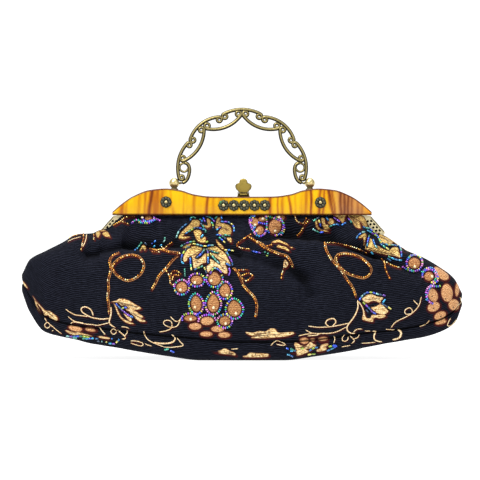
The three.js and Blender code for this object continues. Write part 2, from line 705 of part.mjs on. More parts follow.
function handle() {
  const leg = LEG.map(({ x, z }) => [x, z]);
  const pinEnds = [-STUD_X - 0.9, LEG[LEG.length - 1].x - 0.2];
  const [crown, ...flank] = SCROLLS.map(scrollPoints);
  const pieces = [wire(crown, WIRE_RADIUS, 2.2)];
  for (const turn of [(points) => points, mirrored]) {
    for (const points of flank) pieces.push(wire(turn(points), WIRE_RADIUS, 2.2));
    pieces.push(wire(turn(leg), WIRE_RADIUS, 2.6));
  }
  for (const x of [SCROLL_RING.x, -SCROLL_RING.x]) {
    const ring = new THREE.TorusGeometry(SCROLL_RING.radius, SCROLL_RING.wire, 6, 12);
    pieces.push(ring.rotateX(Math.PI / 2).translate(x, HARDWARE_Y, SCROLL_RING.z));
  }
  pieces.push(cylinderAlongX(PIN_RADIUS, pinEnds[0], pinEnds[1], HARDWARE_Y, PIVOT_Z, 10));
  pieces.push(cylinderAlongX(PIN_RADIUS, -pinEnds[1], -pinEnds[0], HARDWARE_Y, PIVOT_Z, 10));
  return piece("handle", geometryOf(fused(pieces)), brass);
}

// Lift-tab clasp: a seat with a cross pin on the back half, and a tab whose tongue reaches the front

const CLASP_X = 1.2;
const CLASP_PIN_Z = 138.2;
const CLASP = { half: 4.9, ear: 0.8, barrel: 1.45, bore: 1.05, pin: 0.75, tab: 1.3, foot: 0.65 };
// The tab's outline from its barrel to its tip, on one side of the middle
const CLASP_OUTLINE = [
  { half: 3.6, up: 0.8 },
  { half: 4.6, up: 2.0 },
  { half: 6.4, up: 4.0 },
  { half: 6.9, up: 6.0 },
  { half: 6.0, up: 8.0 },
  { half: 4.3, up: 8.7 },
  { half: 3.5, up: 9.2 },
  { half: 3.2, up: 10.6 },
  { half: 1.9, up: 12.0 },
  { half: 0.5, up: 12.5 },
];

function claspSeat() {
  const foot = box(
    [CLASP_X - CLASP.half, HARDWARE_Y - 1.6, FRAME_MIDDLE_TOP + CLEAR],
    [CLASP_X + CLASP.half, HARDWARE_Y + 2.6, FRAME_MIDDLE_TOP + CLEAR + CLASP.foot],
  );
  const pin = cylinderAlongX(
    CLASP.pin, CLASP_X - CLASP.half + 0.1, CLASP_X + CLASP.half - 0.1, HARDWARE_Y, CLASP_PIN_Z, 10,
  );
  const ears = [-CLASP.half, CLASP.half - CLASP.ear].flatMap((x) => {
    const [x0, x1] = [CLASP_X + x, CLASP_X + x + CLASP.ear];
    return [
      cylinderAlongX(CLASP.barrel, x0, x1, HARDWARE_Y, CLASP_PIN_Z, 14),
      box([x0, HARDWARE_Y - 1.4, FRAME_MIDDLE_TOP + CLEAR + 0.1], [x1, HARDWARE_Y + 1.4, CLASP_PIN_Z]),
    ];
  });
  return piece("clasp_seat", geometryOf(fused([foot, pin, ...ears])), brass);
}

function claspTab() {
  const right = CLASP_OUTLINE.map(({ half, up }) => [CLASP_X + half, CLASP_PIN_Z + up]);
  const left = CLASP_OUTLINE.map(({ half, up }) => [CLASP_X - half, CLASP_PIN_Z + up]);
  const tab = plate(
    polygon([...right, ...left.reverse()]),
    HARDWARE_Y - CLASP.tab / 2,
    HARDWARE_Y + CLASP.tab / 2,
  );
  const reach = CLASP.half - CLASP.ear - CLEAR;
  const barrel = cylinderAlongX(
    CLASP.barrel, CLASP_X - reach, CLASP_X + reach, HARDWARE_Y, CLASP_PIN_Z, 14,
  );
  const tongue = box(
    [CLASP_X - 3, -6.5, CLASP_PIN_Z - 1.4],
    [CLASP_X + 3, HARDWARE_Y - 1, CLASP_PIN_Z - 0.4],
  );
  const bore = cylinderAlongX(
    CLASP.bore, CLASP_X - CLASP.half, CLASP_X + CLASP.half, HARDWARE_Y, CLASP_PIN_Z, 12,
  );
  const made = fused([tab, barrel, tongue]).subtract(solidOf(bore));
  return piece("clasp_tab", geometryOf(made), brass);
}

// The whole bag

const bag = new THREE.Group();
bag.add(clothBody());
bag.add(frameHalf("frame_front", -1));
bag.add(frameHalf("frame_back", 1));
bag.add(frameArms());
bag.add(rosettes());
bag.add(ballStud("ball_stud_left", -1));
bag.add(ballStud("ball_stud_right", 1));
bag.add(handle());
bag.add(claspSeat());
bag.add(claspTab());

export default bag;
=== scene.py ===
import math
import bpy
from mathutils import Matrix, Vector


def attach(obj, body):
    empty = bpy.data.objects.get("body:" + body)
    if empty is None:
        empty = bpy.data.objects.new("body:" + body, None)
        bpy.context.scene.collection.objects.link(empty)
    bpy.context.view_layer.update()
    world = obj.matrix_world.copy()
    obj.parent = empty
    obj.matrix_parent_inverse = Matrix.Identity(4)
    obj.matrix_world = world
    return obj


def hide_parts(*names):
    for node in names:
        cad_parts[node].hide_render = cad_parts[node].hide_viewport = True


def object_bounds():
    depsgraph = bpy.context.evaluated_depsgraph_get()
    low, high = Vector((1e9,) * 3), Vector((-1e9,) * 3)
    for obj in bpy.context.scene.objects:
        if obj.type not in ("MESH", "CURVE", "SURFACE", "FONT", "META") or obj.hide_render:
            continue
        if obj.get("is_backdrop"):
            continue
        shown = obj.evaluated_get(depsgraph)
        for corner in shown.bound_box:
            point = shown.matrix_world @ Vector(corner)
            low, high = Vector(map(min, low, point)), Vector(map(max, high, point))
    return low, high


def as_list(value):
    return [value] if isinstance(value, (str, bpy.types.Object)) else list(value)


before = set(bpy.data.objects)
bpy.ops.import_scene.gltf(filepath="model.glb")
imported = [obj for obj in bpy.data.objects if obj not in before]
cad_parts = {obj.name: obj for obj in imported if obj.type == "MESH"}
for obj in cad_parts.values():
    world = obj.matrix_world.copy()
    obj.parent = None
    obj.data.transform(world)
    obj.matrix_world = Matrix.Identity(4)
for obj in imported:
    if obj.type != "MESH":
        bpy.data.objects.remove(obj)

# A beaded tapestry evening bag: a gathered cloth body with a grapevine in thread, seed beads, bugle
# beads and pearls, under a marbled resin frame with cast brass fittings.
# Sizes are millimetres, +Z up, the front of the bag faces -Y. Meshes are scaled to metres once, when made.

from types import SimpleNamespace

import bmesh
import bpy
import numpy as np
from mathutils import Vector
from mathutils.bvhtree import BVHTree

CAD_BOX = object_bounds()
MM = 0.001


def table(columns, rows):
    """A small table as named columns."""
    return dict(zip(columns.split(), np.array(rows, dtype=float).T))


# Sizes of the cloth body

CLOTH = 1.5
LINING_GAP = 0.1
BAG_HALF_LENGTH = 185
BAG_HALF_DEPTH = 50
PLAN_POWER = 2.2
END_HALF_WIDTH = 0.35
BASE_FLAT_SHARE = 0.62
BASE_FLAT_WIDE = 0.76
BASE_RIPPLE = 0.5
BASE_RIPPLE_SEAM = 4
# How far the base has to face the front or back, as a share, to be fully rippled and to show the pattern
BASE_RIPPLE_SHOWN = 0.5
BASE_PATTERN_SHOWN = 0.3
FALL_BLEND = (85, 140)
PLEATED_TO = (80, 102)

# How finely the cloth is drawn: steps along the bag, down each panel and across the base
ALONG_STEPS = 500
ALONG_CROWDING = 0.45
LEAD_STEPS = 4
FRONT_STEPS = 176
BACK_STEPS = 96
BASE_STEPS = 48
INNER_EVERY = 4  # the lining side has one point for this many on the outside

BODY = table("x top lead edge seam keel", [
    (-185, 70, 0.5, 0.35, 64, 57),
    (-178, 83, 0.5, 0.35, 52, 40),
    (-165, 90, 0.5, 0.35, 36, 23),
    (-151, 97, 0.5, 0.35, 31, 19),
    (-138, 104, 0.5, 0.35, 28.5, 16.5),
    (-126, 104.8, 0.8, 0.35, 27, 13.5),
    (-119, 107.6, 0.8, 8, 26.3, 12.5),
    (-113.5, 108.6, 0.8, 8, 25.8, 11.6),
    (-106, 114.6, 0.8, 8, 25, 10.5),
    (-101, 118.9, 1, 8, 24.4, 9.7),
    (-92, 122.2, 3.4, 4.75, 23, 8),
    (-62, 122.2, 3.4, 4.75, 20.3, 3.4),
    (-34, 122.2, 3.4, 4.75, 18, 0),
    (0, 122.2, 3.4, 4.75, 15.5, 0),
    (34, 122.2, 3.4, 4.75, 15.6, 0),
    (62, 122.2, 3.4, 4.75, 17.6, 3.4),
    (92, 122.2, 3.4, 4.75, 21, 8),
    (102, 118.7, 1, 8, 22.4, 10.3),
    (107, 109.2, 0.8, 8, 22.9, 11.2),
    (113.5, 104.6, 0.8, 8, 23.5, 12.4),
    (119, 103, 0.8, 8, 24, 13.5),
    (126, 98.8, 0.8, 0.35, 24.8, 14.5),
    (138, 90.5, 0.5, 0.35, 26.5, 16.5),
    (151, 85, 0.5, 0.35, 29, 18.5),
    (165, 77, 0.5, 0.35, 33, 22.5),
    (178, 67, 0.5, 0.35, 40, 30),
    (185, 54, 0.5, 0.35, 49, 45),
])

FALL_UNDER_FRAME = table("share out up", [
    (0, 0, 1), (0.14, 0.23, 0.89), (0.3, 0.5, 0.81), (0.45, 0.76, 0.7),
    (0.6, 0.92, 0.54), (0.77, 1, 0.31), (1, 0.91, 0),
])
FALL_AT_ENDS = table("share out up", [
    (0, 0, 1), (0.14, 0.42, 0.97), (0.3, 0.72, 0.88), (0.45, 0.89, 0.72),
    (0.6, 0.97, 0.55), (0.77, 1, 0.32), (1, 0.91, 0),
])

# Folds along straight lines seen from the front; raise is below 0 for a valley, wide is half the width
FRONT_FOLDS = table("x0 z0 x1 z1 raise wide", [
    (-128, 89, -92, 100, -6.5, 8),
    (-92, 100, -56, 101, -9.1, 7),
    (-56, 101, -4, 94, -9.1, 6.5),
    (-110, 84, -60, 89, 3, 8),
    (-60, 89, -12, 85, 4.5, 8),
    (8, 98, 32, 107, -7.8, 6),
    (32, 107, 74, 104, -10.4, 6.5),
    (74, 104, 110, 90, -10.4, 6),
    (110, 90, 144, 75, -5.9, 5.5),
    (16, 99, 62, 96, 5, 7),
    (62, 96, 112, 80, 4.5, 7),
    (112, 96, 146, 82, 2.5, 5),
    (0, 91, 30, 82, -6.5, 7),
    (30, 82, 52, 70, -7.2, 8),
    (52, 70, 57, 56, -4.5, 8),
])
BACK_FOLDS = table("x0 z0 x1 z1 raise wide", [
    (-124, 88, -60, 100, -5, 8),
    (-60, 100, 20, 97, -6, 7),
    (20, 97, 100, 98, -6, 7),
    (100, 98, 140, 77, -4, 6),
    (-100, 88, 90, 86, 3.5, 9),
    (-20, 90, -36, 62, -4, 9),
])
# Fine creases that lie in and beside the folds of the front
FRONT_CREASES = table("x0 z0 x1 z1 raise wide", [
    (-128, 91, -104, 98, -2.3, 2.6),
    (-104, 98, -79, 102, -2.8, 2.4),
    (-79, 102, -58, 100, -2.8, 2.4),
    (-60, 97.5, -27, 97, -2.8, 2.2),
    (-27, 97, -3, 91, -2.7, 2.4),
    (12, 102, 36, 104, -2.7, 2.2),
    (36, 104, 67, 99.5, -3, 2.2),
    (67, 99.5, 97, 95, -3, 2.2),
    (97, 95, 118, 86, -2.7, 2.2),
    (36, 85, 47, 74, -2.1, 3),
    (47, 74, 57, 55, -1.7, 3.4),
    (-150, 78, -118, 70, 0.8, 6),
    (-140, 60, -96, 50, 0.7, 8),
    (118, 62, 152, 54, 0.7, 7),
    (88, 46, 128, 40, 0.6, 8),
])
PLEAT_PITCH = 15.5
PLEAT_RAISE = 1.3
PLEAT_REACH = 15
FINE_PLEAT_PITCH = 6.3
FINE_PLEAT_RAISE = 0.5
FINE_PLEAT_REACH = 9
FINE_PLEAT_SWAY = 21
FOLD_FADE_LEAD = 8
FOLD_FADE_END = 30
FOLD_FADE_SEAM = 0.15
SEAM_SINK = 1.7
SEAM_SINK_REACH = 1.7

# Sizes of the frame and its fittings

FRAME_HALF_LENGTH = 108.5
FRAME_BOTTOM = 120
FRAME_MIDDLE_TOP = 135.5
FRAME_SPLIT = 0.3
FRAME_FACE = 9
FRAME_SOFT = 1.5
FRAME_SOFT_SHARE = 0.42
FRAME_CHAMFER = 0.35
FRAME_DOME = 0.35
FRAME_FACE_SHARES = (0.04, 0.2, 0.4, 0.6, 0.8, 0.96)
# Places along half of the frame, closer together at its tip
FRAME_STATIONS = np.concatenate([np.linspace(0, 100, 134), np.linspace(100.6, FRAME_HALF_LENGTH, 18)])
FRAME_OUTLINE = table("x top", [
    (0, 135.5), (26, 135.7), (40, 137.4), (52, 141), (64, 142.4),
    (77, 141.2), (91, 136), (101, 129.3), (106, 125), (108.5, 122.8),
])
HARDWARE_Y = 4.7
PIVOT_Z = 146.9
STUD_X = 57
STUD_FOOT = ((3.5, 0), (3.5, 0.5), (2.6, 1.0))
STUD_SUNK = 0.4
STUD_NECK = 2.3
# Heights between which painted shade grows under the ball
STUD_SHADE_HEIGHTS = (PIVOT_Z - 0.8, PIVOT_Z - 4.4)
BALL_RADIUS = 4.3
PIN_RADIUS = 1.0
PIN_PAST_STUD = 0.9
ROSETTE_RADIUS = 4.75
ROSETTE_FACE = FRAME_FACE + 0.3
ROSETTE_THICK = 1.3
ROSETTE_LEVEL = 0.62 * ROSETTE_THICK
ROSETTE_DISH = 0.25
ROSETTE_PETALS = 8
PETAL_STEPS = 10
PETAL_SHARES = (0.28, 0.36, 0.44, 0.54, 0.66, 0.78, 0.88, 0.95, 1.0)
PETAL_FOOT = 0.36
PETAL_LENGTH = 0.6
PETAL_RAISE = 0.55
ROW_SCALLOP = 0.1
SINGLE_SCALLOP = 0.05
VERDIGRIS_X = -18.6
VERDIGRIS_Z = 131.6
VERDIGRIS_REACH = 2
RIVET_RADIUS = 1.4
RIVET_RIM = 0.15
RIVET_DOME = 0.8
RIVET_TIP = 0.08
RIVET_SUNK = 0.2
ROSETTE_ROW_X = (-15.4, -6.8, 1.8, 10.4, 19.0)
ROSETTE_ROW_Z = 128.2
ROSETTE_SINGLES = {"left": (-63.6, 131), "right": (65.6, 130.6)}

# The handle's crown and left half: volute centres, how far the arc between them bows, volute radius
SCROLLS = [
    (-14.3, 203.1, 14.3, 203.1, 5.7, 2.2),
    (-3.1, 204.8, -29.1, 194.8, 6.3, 2.3),
    (-41.4, 183.3, -19.4, 200.3, 6.3, 2.2),
    (-34.1, 191.4, -49.6, 167.7, 6.3, 2.2),
    (-51, 151.7, -44.6, 178.9, 5.6, 2),
]
WIRE_RADIUS = 1.56
WIRE_DEPTH = 1.1
WIRE_SIDES = 16
# Painted shade on the handle's wires: flanks turned further sideways than this are shaded, upper flanks less
FLANK_LIT_UP_TO = 0.21
UPPER_FLANK_LIT_MORE = 0.3
FLANK_BLEND = 0.35
FLANK_SHADE = 1.2
VOLUTE_TURNS = 1.2
VOLUTE_SHRINK = 0.48
VOLUTE_SHRINK_POWER = 1.6
VOLUTE_WIRE = 1.24
VOLUTE_THINNING = 0.25
VOLUTE_STEPS = 44
SCROLL_ARC_STEPS = 40
SCROLL_STEP = 0.6
SCROLL_RING = (-48.9, 160)
SCROLL_RING_RADIUS = 3.6
SCROLL_RING_WIRE = 0.95
LEG = [
    (-48.5, 164.2), (-45.4, 162.5), (-44.2, 159), (-44.5, 154.8),
    (-45.7, 151), (-47.8, 148.2), (-50.6, PIVOT_Z),
]

CLASP_X = 1.2
CLASP_PIN_Z = 138.2
CLASP_HALF = 4.9
CLASP_EAR = 0.8
CLASP_BARREL = 1.45
CLASP_THICK = 1.3
CLASP_RIM_THIN = 0.55
CLASP_TIP_THIN = 0.5
CLASP_TIP = (11.2, 12.5)
CLASP_LEVELS = np.concatenate([np.linspace(0.8, 8.7, 26), np.linspace(9.0, 12.5, 14)])
CLASP_OUTLINE = table("up half", [
    (0.8, 3.6), (2, 4.6), (4, 6.4), (6, 6.9), (8, 6), (8.7, 4.3),
    (9.2, 3.5), (10.6, 3.2), (12, 1.9), (12.5, 0.5),
])
# The brass band across the clasp's collar, with painted shade above and below it
COLLAR_BAND_Z = 137.5
COLLAR_BAND_EDGE = (0.45, 0.85)
TONGUE = ((CLASP_X - 3, -6.5, 136.8), (CLASP_X + 3, 3.7, 137.8))
BAR_SOFT = 0.25
EAR_SOFT = 0.15
EAR_Y = (-1.4, 1.4)
SEAT_PAST = 0.3
SEAT_THICK = 0.95
SEAT_Y = (-1.9, 2.6)
WALL_Y = (1.55, 2.55)
WALL_FROM = 1.5
EAR_RAISED = 0.5

ARM_START = (107.8, 119.4)
ARM_END = (119.4, 106.2)
ARM_FACE = 6.2
ARM_HOLES = 5
ARM_HOLE_INSET = 4.9
ARM_HOLE_RADIUS = 1.1
ARM_RING_GAP = 0.25
ARM_RING_WIRE = (0.3, 0.32)
ARM_HOLLOW = (ARM_HOLE_RADIUS, ARM_HOLE_RADIUS, 0.1)
ARM_HOLLOW_SUNK = 0.25
ARM_PIT_INSET = 2.45
ARM_PIT_RADIUS = 0.95
ARM_PIT = (1.25 * ARM_PIT_RADIUS, ARM_PIT_RADIUS, 0.1)
ARM_MILLING = (0.5, 0.34, 0.34)
ARM_MILLING_PITCH = 1.5
ARM_DARK = 1.2
ARM_BAR_DEPTH = 0.16
ARM_BARS = table("inset half dark", [
    (0.25, 0.3, ARM_DARK), (0.72, 0.18, ARM_DARK), (1.3, 0.4, 0), (7.6, 0.28, 0),
])

# The pattern, read off the photograph: pixels of its 480 by 480 frame

PHOTO_PIXEL = 0.84  # millimetres at the bag
PHOTO_MIDDLE = 242
PHOTO_GROUND = 358

# The eye, before the front of the bag
EYE_DISTANCE = 2400
EYE_X = -1.7
EYE_Z = 141

# Streaks in the resin: where each crosses the top and the foot of the frame, its half width, how dark it is
FRAME_STREAKS = table("top foot wide dark", [
    (123.5, 122.5, 2, 0.5), (127.5, 126.5, 1.2, 0.3), (139.5, 139, 1.2, 0.25), (146, 145, 1, 0.3),
    (152.5, 149, 1.6, 0.75), (157.5, 156, 4, 0.4), (163, 162.5, 3, 0.45), (170, 173.5, 1.4, 0.35),
    (184, 183.5, 1.2, 0.3), (187, 186.5, 1, 0.25), (195, 193.5, 1.6, 0.4), (208.6, 206, 1.3, 0.6),
    (214, 213, 2.5, 0.3), (220, 222, 2, 0.3), (270.5, 269.5, 1.8, 0.65), (277.8, 277.6, 0.9, 0.6),
    (283, 282, 1.8, 0.5), (287, 291.5, 1.1, 0.65), (294.5, 295.5, 0.9, 0.3), (306, 305.5, 2, 0.4),
    (310.8, 310.8, 1, 0.85), (320, 318.5, 1.2, 0.6), (324.5, 322.5, 1, 0.55), (328, 333, 1.6, 0.85),
    (331.5, 335, 1, 0.7), (340, 340.5, 1.3, 0.7), (344, 344, 1.2, 0.65), (347.5, 347.5, 1, 0.6),
    (352, 351, 1, 0.35), (358.5, 357, 1, 0.3), (363, 361.5, 1.2, 0.35),
])
STREAK_TOP = FRAME_MIDDLE_TOP + 6
STREAK_WAVE = 0.25
STREAK_WAVE_LENGTH = 2.9
STREAK_SPREAD = 1.25
STREAK_POWER = 1.6
ROSY = (326, 342)
RED_TIP = (360, 370)
RED_TIP_DEPTH = 0.7

# Outlines of the woven leaves
LEAVES = {
    "upper_left_blade": [
        (178.5, 238), (180.7, 233.2), (184.6, 228.9), (190.2, 223.7), (192.4, 220.2), (198, 220.2),
        (199.8, 222.4), (198.9, 226.3), (192.8, 228.9), (185, 234.6), (182.4, 236.7), (190.2, 236.7),
        (186.3, 238.9), (181.5, 239.3),
    ],
    "upper_left_lobe": [
        (193.7, 231.1), (198, 230), (201.1, 231.1), (201.5, 233.7), (199.8, 238.9), (205, 236.7),
        (205.8, 239.8), (205, 242.8), (198, 241.5), (194.6, 235.4),
    ],
    "upper_middle": [
        (198.9, 221.5), (203.2, 224.6), (207.6, 225.4), (206.7, 219.8), (208, 218.4), (210.6, 221.5),
        (211, 225.9), (208.4, 228), (205.4, 227.6),
    ],
    "upper_right": [
        (215.8, 224.6), (217.1, 218.5), (220.1, 217), (220.6, 222), (224.5, 223.7), (229.7, 225.9),
        (231.4, 230.2), (230.5, 234.5), (224, 235), (219.7, 235.4), (218, 233.7), (220.1, 229.3),
        (215.8, 228.9),
    ],
    "upper_right_tail": [(226.6, 238), (231, 238), (231.4, 243.2), (228.8, 241.5)],
    "lower_stalk": [
        (215.8, 238.9), (218, 241.5), (223.2, 246.7), (224, 249.7), (221.4, 248.9), (217.1, 243.7),
    ],
    "lower_leaflet": [
        (181.5, 246.7), (185.9, 245.4), (186.3, 243.2), (190.2, 242.4), (191.5, 244.1), (188.5, 246.7),
        (185, 248),
    ],
    "lower_left": [
        (183.7, 261.9), (183.3, 257.5), (185, 252.3), (189.3, 248), (192.4, 246.3), (196.3, 246.3),
        (202.4, 248.9), (196.3, 255.8), (194.6, 258.8), (199.8, 258.4), (205.8, 253.2), (206.3, 258),
        (205.8, 262.7), (202.4, 263.6), (196.3, 267.9), (193.7, 268.8), (191.9, 257.1), (189.3, 257.1),
        (186.7, 261),
    ],
    "lower_right": [
        (207.6, 248), (215.4, 246.3), (221, 250.2), (224.9, 253.2), (227.9, 258.8), (230.5, 264.9),
        (225.3, 264), (227.1, 268.4), (227.1, 274), (221.9, 272.3), (218, 268.8), (213.6, 267.1),
        (208, 272.7), (206.7, 266.6), (210.2, 263.2), (210.2, 258.8), (219.7, 264.5), (218.8, 260.1),
        (211, 253.6), (218.8, 254.4), (213.6, 251), (209.3, 251),
    ],
    "left_upper": [
        (110, 301.8), (116.3, 300.6), (118.6, 298.9), (123.2, 298.7), (127.5, 299.9), (131.2, 301.9),
        (136.2, 304.9), (141.5, 308.5), (134.8, 310.2), (128.9, 311.2), (126.2, 310.2), (125.2, 307.6),
        (127.5, 306.2), (121.2, 305.6), (118.6, 302.9), (114.9, 302.2),
    ],
    "left_middle": [
        (129.2, 311.5), (135.2, 311.2), (138.8, 313.5), (143.8, 317.2), (141.1, 318.2), (146.1, 321.5),
        (141.1, 322.1), (137.5, 320.2), (135.2, 318.2), (133.5, 315.8),
    ],
    "left_outer": [
        (113.3, 302.9), (116.3, 306.2), (118.2, 310.9), (121.2, 316.8), (125.2, 319.8), (128.9, 321.5),
        (134.5, 323.8), (129.9, 324.1), (124.5, 321.8), (119.9, 317.5), (117.3, 313.5), (115.2, 307.6),
    ],
    "left_inner": [
        (123.2, 312.9), (128.5, 316.2), (131.2, 318.2), (131.8, 320.5), (129.9, 321.5), (127.9, 319.5),
        (125.2, 316.2),
    ],
    "left_end": [
        (32.2, 295.4), (35, 299.1), (38.8, 303.5), (42.5, 307.9), (45.6, 310.4), (49.4, 311),
        (53.1, 313.5), (56.9, 316.6), (57.8, 319.4), (56.3, 321), (50, 317.9), (48.4, 315.4),
        (44.4, 315.4), (43.1, 311.6), (37.5, 304.1), (36.7, 303.9), (38.1, 307.3), (41.9, 314.1),
        (39.4, 312.3), (36.4, 307.9), (34.4, 299.8),
    ],
    "left_tip": [(22.6, 281), (25.4, 284), (28, 288.6), (25.4, 287), (23, 284)],
    "left_top_one": [
        (95.9, 232.4), (98.4, 231), (100.3, 233), (99.6, 236.1), (98.1, 238), (96.3, 236.1),
    ],
    "left_top_two": [
        (102.2, 233.6), (105.3, 231.8), (107.8, 232.2), (109.6, 235.5), (110.8, 238), (107.8, 237),
        (104.6, 236.4),
    ],
    "left_top_strip": [(98.6, 230.4), (102.1, 229.6), (106.2, 230.6), (101.5, 231.6)],
    "twig": [
        (139.4, 250.9), (143.1, 244.7), (146.2, 248.2), (144.4, 251.2), (143, 248.2), (141.4, 250.8),
    ],
    "right_vine_upper": [
        (271.2, 242.4), (274, 241), (277.3, 239.6), (279.8, 240.2), (283.2, 241.9), (286.1, 242.9),
        (288.4, 244.8), (288.8, 246.6), (286.1, 245), (281.5, 243.3), (278.6, 242.3), (275.3, 243),
    ],
    "right_vine_lower": [
        (276.5, 247), (278.2, 244.9), (279.8, 244.9), (281.5, 246.1), (284.8, 246.5), (286.9, 247.8),
        (288.8, 249.5), (290, 251.6), (286.5, 250.6), (283.2, 249), (279.8, 248.1),
    ],
    "right_vine_tip": [(289.6, 246.9), (293.4, 247.4), (293.2, 248.4), (290, 248)],
    "right_leaflet": [
        (284.8, 259), (286.7, 261.2), (288.5, 263.1), (287.9, 265.6), (286.1, 267.7), (284.2, 267.7),
        (283.3, 264.8), (283.9, 261.4),
    ],
    "flat": [
        (245.4, 332), (253.1, 332.6), (259.2, 331), (265.3, 331.5), (270.4, 328.5), (275.5, 329),
        (278.6, 332.6), (292.9, 332), (293.4, 334.1), (285.7, 336.6), (274.5, 337.7), (262.2, 338.4),
        (250.5, 338), (253.1, 336.6), (248, 334.6),
    ],
    "right_upper": [
        (361.7, 299.1), (364.3, 296.7), (368.4, 294.4), (373.1, 294.7), (377.2, 296.4), (383.1, 297.6),
        (381.3, 300.8), (380.2, 303.2), (376, 301.4), (372.5, 301.1), (367.2, 303.2), (364.6, 301.7),
    ],
    "right_middle": [
        (370.6, 307.4), (374.6, 306.8), (378.6, 304.8), (381.4, 302.8), (383.4, 305.4), (386, 308.4),
        (388.4, 311.4), (385.4, 314), (381.6, 314.4), (377.4, 313.4), (373.4, 310.6),
    ],
    "right_lower": [
        (358.5, 301.4), (361.4, 304.4), (363.7, 309.3), (364.9, 312.3), (365.2, 315.5), (367.2, 318.1),
        (370.8, 317.8), (371.9, 314.9), (379.9, 314.9), (384, 314.6), (386, 316.4), (380.2, 318.4),
        (375.5, 317.6), (373.4, 319), (372.5, 322), (364.6, 320.5), (362, 319), (362.9, 314.3),
        (362.3, 309.3), (360.5, 304.9),
    ],
    "bud_left": [
        (315.2, 220.4), (317.2, 219.7), (317.8, 226.2), (321.1, 229.5), (325.6, 230.1), (329.5, 232.1),
        (321.7, 231.2), (316.2, 227.5),
    ],
    "bud_middle": [
        (321.1, 218), (324.3, 218.4), (325.6, 224.3), (328.2, 224.9), (329.5, 229.5), (324.3, 229),
        (322.4, 224.9),
    ],
    "bud_right": [(327.6, 219.6), (332.1, 218.6), (334.1, 223.6), (328.9, 224.3)],
    "shoulder_top_left": [
        (333, 215), (338.6, 213.5), (346.4, 213), (345, 218), (343.2, 223.6), (341.2, 221.7),
        (337.3, 217.8),
    ],
    "shoulder_top": [
        (347.7, 213.2), (355.5, 214.4), (363.4, 217), (366.6, 223), (367.3, 228.6), (362, 224.6),
        (359.4, 220.8), (360.8, 228.4), (355.5, 227), (352.3, 222.3), (349, 217.8),
    ],
    "shoulder_curl": [
        (357.6, 238.2), (361, 235.4), (364.6, 233.4), (366.6, 235.3), (365, 241.8), (366, 248.3),
        (363.6, 246), (363.4, 238.4), (361, 238.2),
    ],
    "shoulder_low": [
        (365.3, 249.8), (368.6, 244.4), (369.9, 238.6), (372.5, 240.5), (375.1, 246.4), (377.7, 245.7),
        (382, 248.3), (388.1, 250.6), (392.6, 247.7), (397.2, 247), (399.1, 252.2), (400.4, 257.6),
        (394.6, 255.9), (386.8, 255), (380.3, 253.7), (372.5, 251.4),
    ],
    "shoulder_ridge": [
        (379.4, 234.4), (388.1, 238), (395.9, 242), (399.8, 245.6), (404, 249), (410.2, 252.2),
        (403.7, 251.4), (399.1, 248), (391.3, 244.6), (383.5, 243.3), (380.3, 240),
    ],
    "base_left": [
        (64.3, 329.6), (70.1, 331.4), (75.8, 332.7), (78.4, 332), (84.5, 333.8), (89.5, 335.2),
        (94.8, 337.4), (83.9, 336.8), (78.3, 336.2), (72, 335), (67.4, 332.7),
    ],
    "base_left_small": [
        (96, 335.6), (99.5, 335.7), (105.8, 337), (110.4, 337.9), (108.9, 339.4), (104.5, 339),
        (99.5, 337.9),
    ],
    "base_right": [
        (294, 342.2), (297.7, 343.3), (301, 345.4), (306, 345.8), (310.2, 341.9), (312.7, 343.3),
        (316.4, 345.9), (311.8, 348.2), (305.6, 349.6), (311.4, 350.3), (305.2, 353.6), (299.3, 355.5),
        (295.4, 355.2), (297, 352.4), (289.3, 353.4), (296, 350.3), (294.6, 346.3),
    ],
    "base_right_high": [(320, 345.6), (326.8, 343.5), (328.8, 345.1), (325.2, 347.4), (320.4, 348.2)],
    "base_right_low": [
        (316.6, 349.8), (322.7, 348.6), (326.6, 348), (326.8, 349.9), (321, 351.6), (316.8, 352),
    ],
    "base_centre": [
        (210, 350.6), (216.2, 351.2), (221.2, 350), (223.7, 348.5), (227, 348.9), (229.5, 351),
        (233.7, 352.2), (236.6, 356), (231.2, 355), (227, 354.6), (217.8, 353.4),
    ],
    "base_middle": [
        (242, 357), (247, 354.7), (250, 352.8), (256, 353.2), (268, 353.8), (268, 356.8), (255, 357.6),
    ],
}

# Where each leaf's veins start, and where they end
VEINS = {
    "upper_right": [(216, 226), (230, 231), (221, 219)],
    "lower_left": [(203, 249.6), (184.5, 260), (194.4, 267.5)],
    "lower_right": [(207.4, 249), (229.5, 263.5), (226.5, 273)],
    "left_upper": [(118, 301.6), (140, 308.2), (131, 310)],
    "left_middle": [(131, 312.2), (145, 321.2)],
    "left_end": [(35, 300), (56, 319.5)],
    "flat": [(250, 337), (262, 333), (273, 331), (288, 333.5)],
    "right_leaflet": [(284.6, 260.4), (286.3, 267)],
    "base_centre": [(212, 351.4), (235, 354.6)],
    "base_middle": [(245, 355.8), (267, 355.2)],
    "right_lower": [(359, 302), (363.6, 316)],
    "right_upper": [(363, 299.6), (382, 298.6)],
    "shoulder_top": [(349, 215), (366, 226), (358, 226.5)],
    "shoulder_low": [(367, 249.4), (399, 255.6)],
    "shoulder_ridge": [(380, 237), (408, 251)],
    "base_right": [(290, 348), (326, 346)],
}

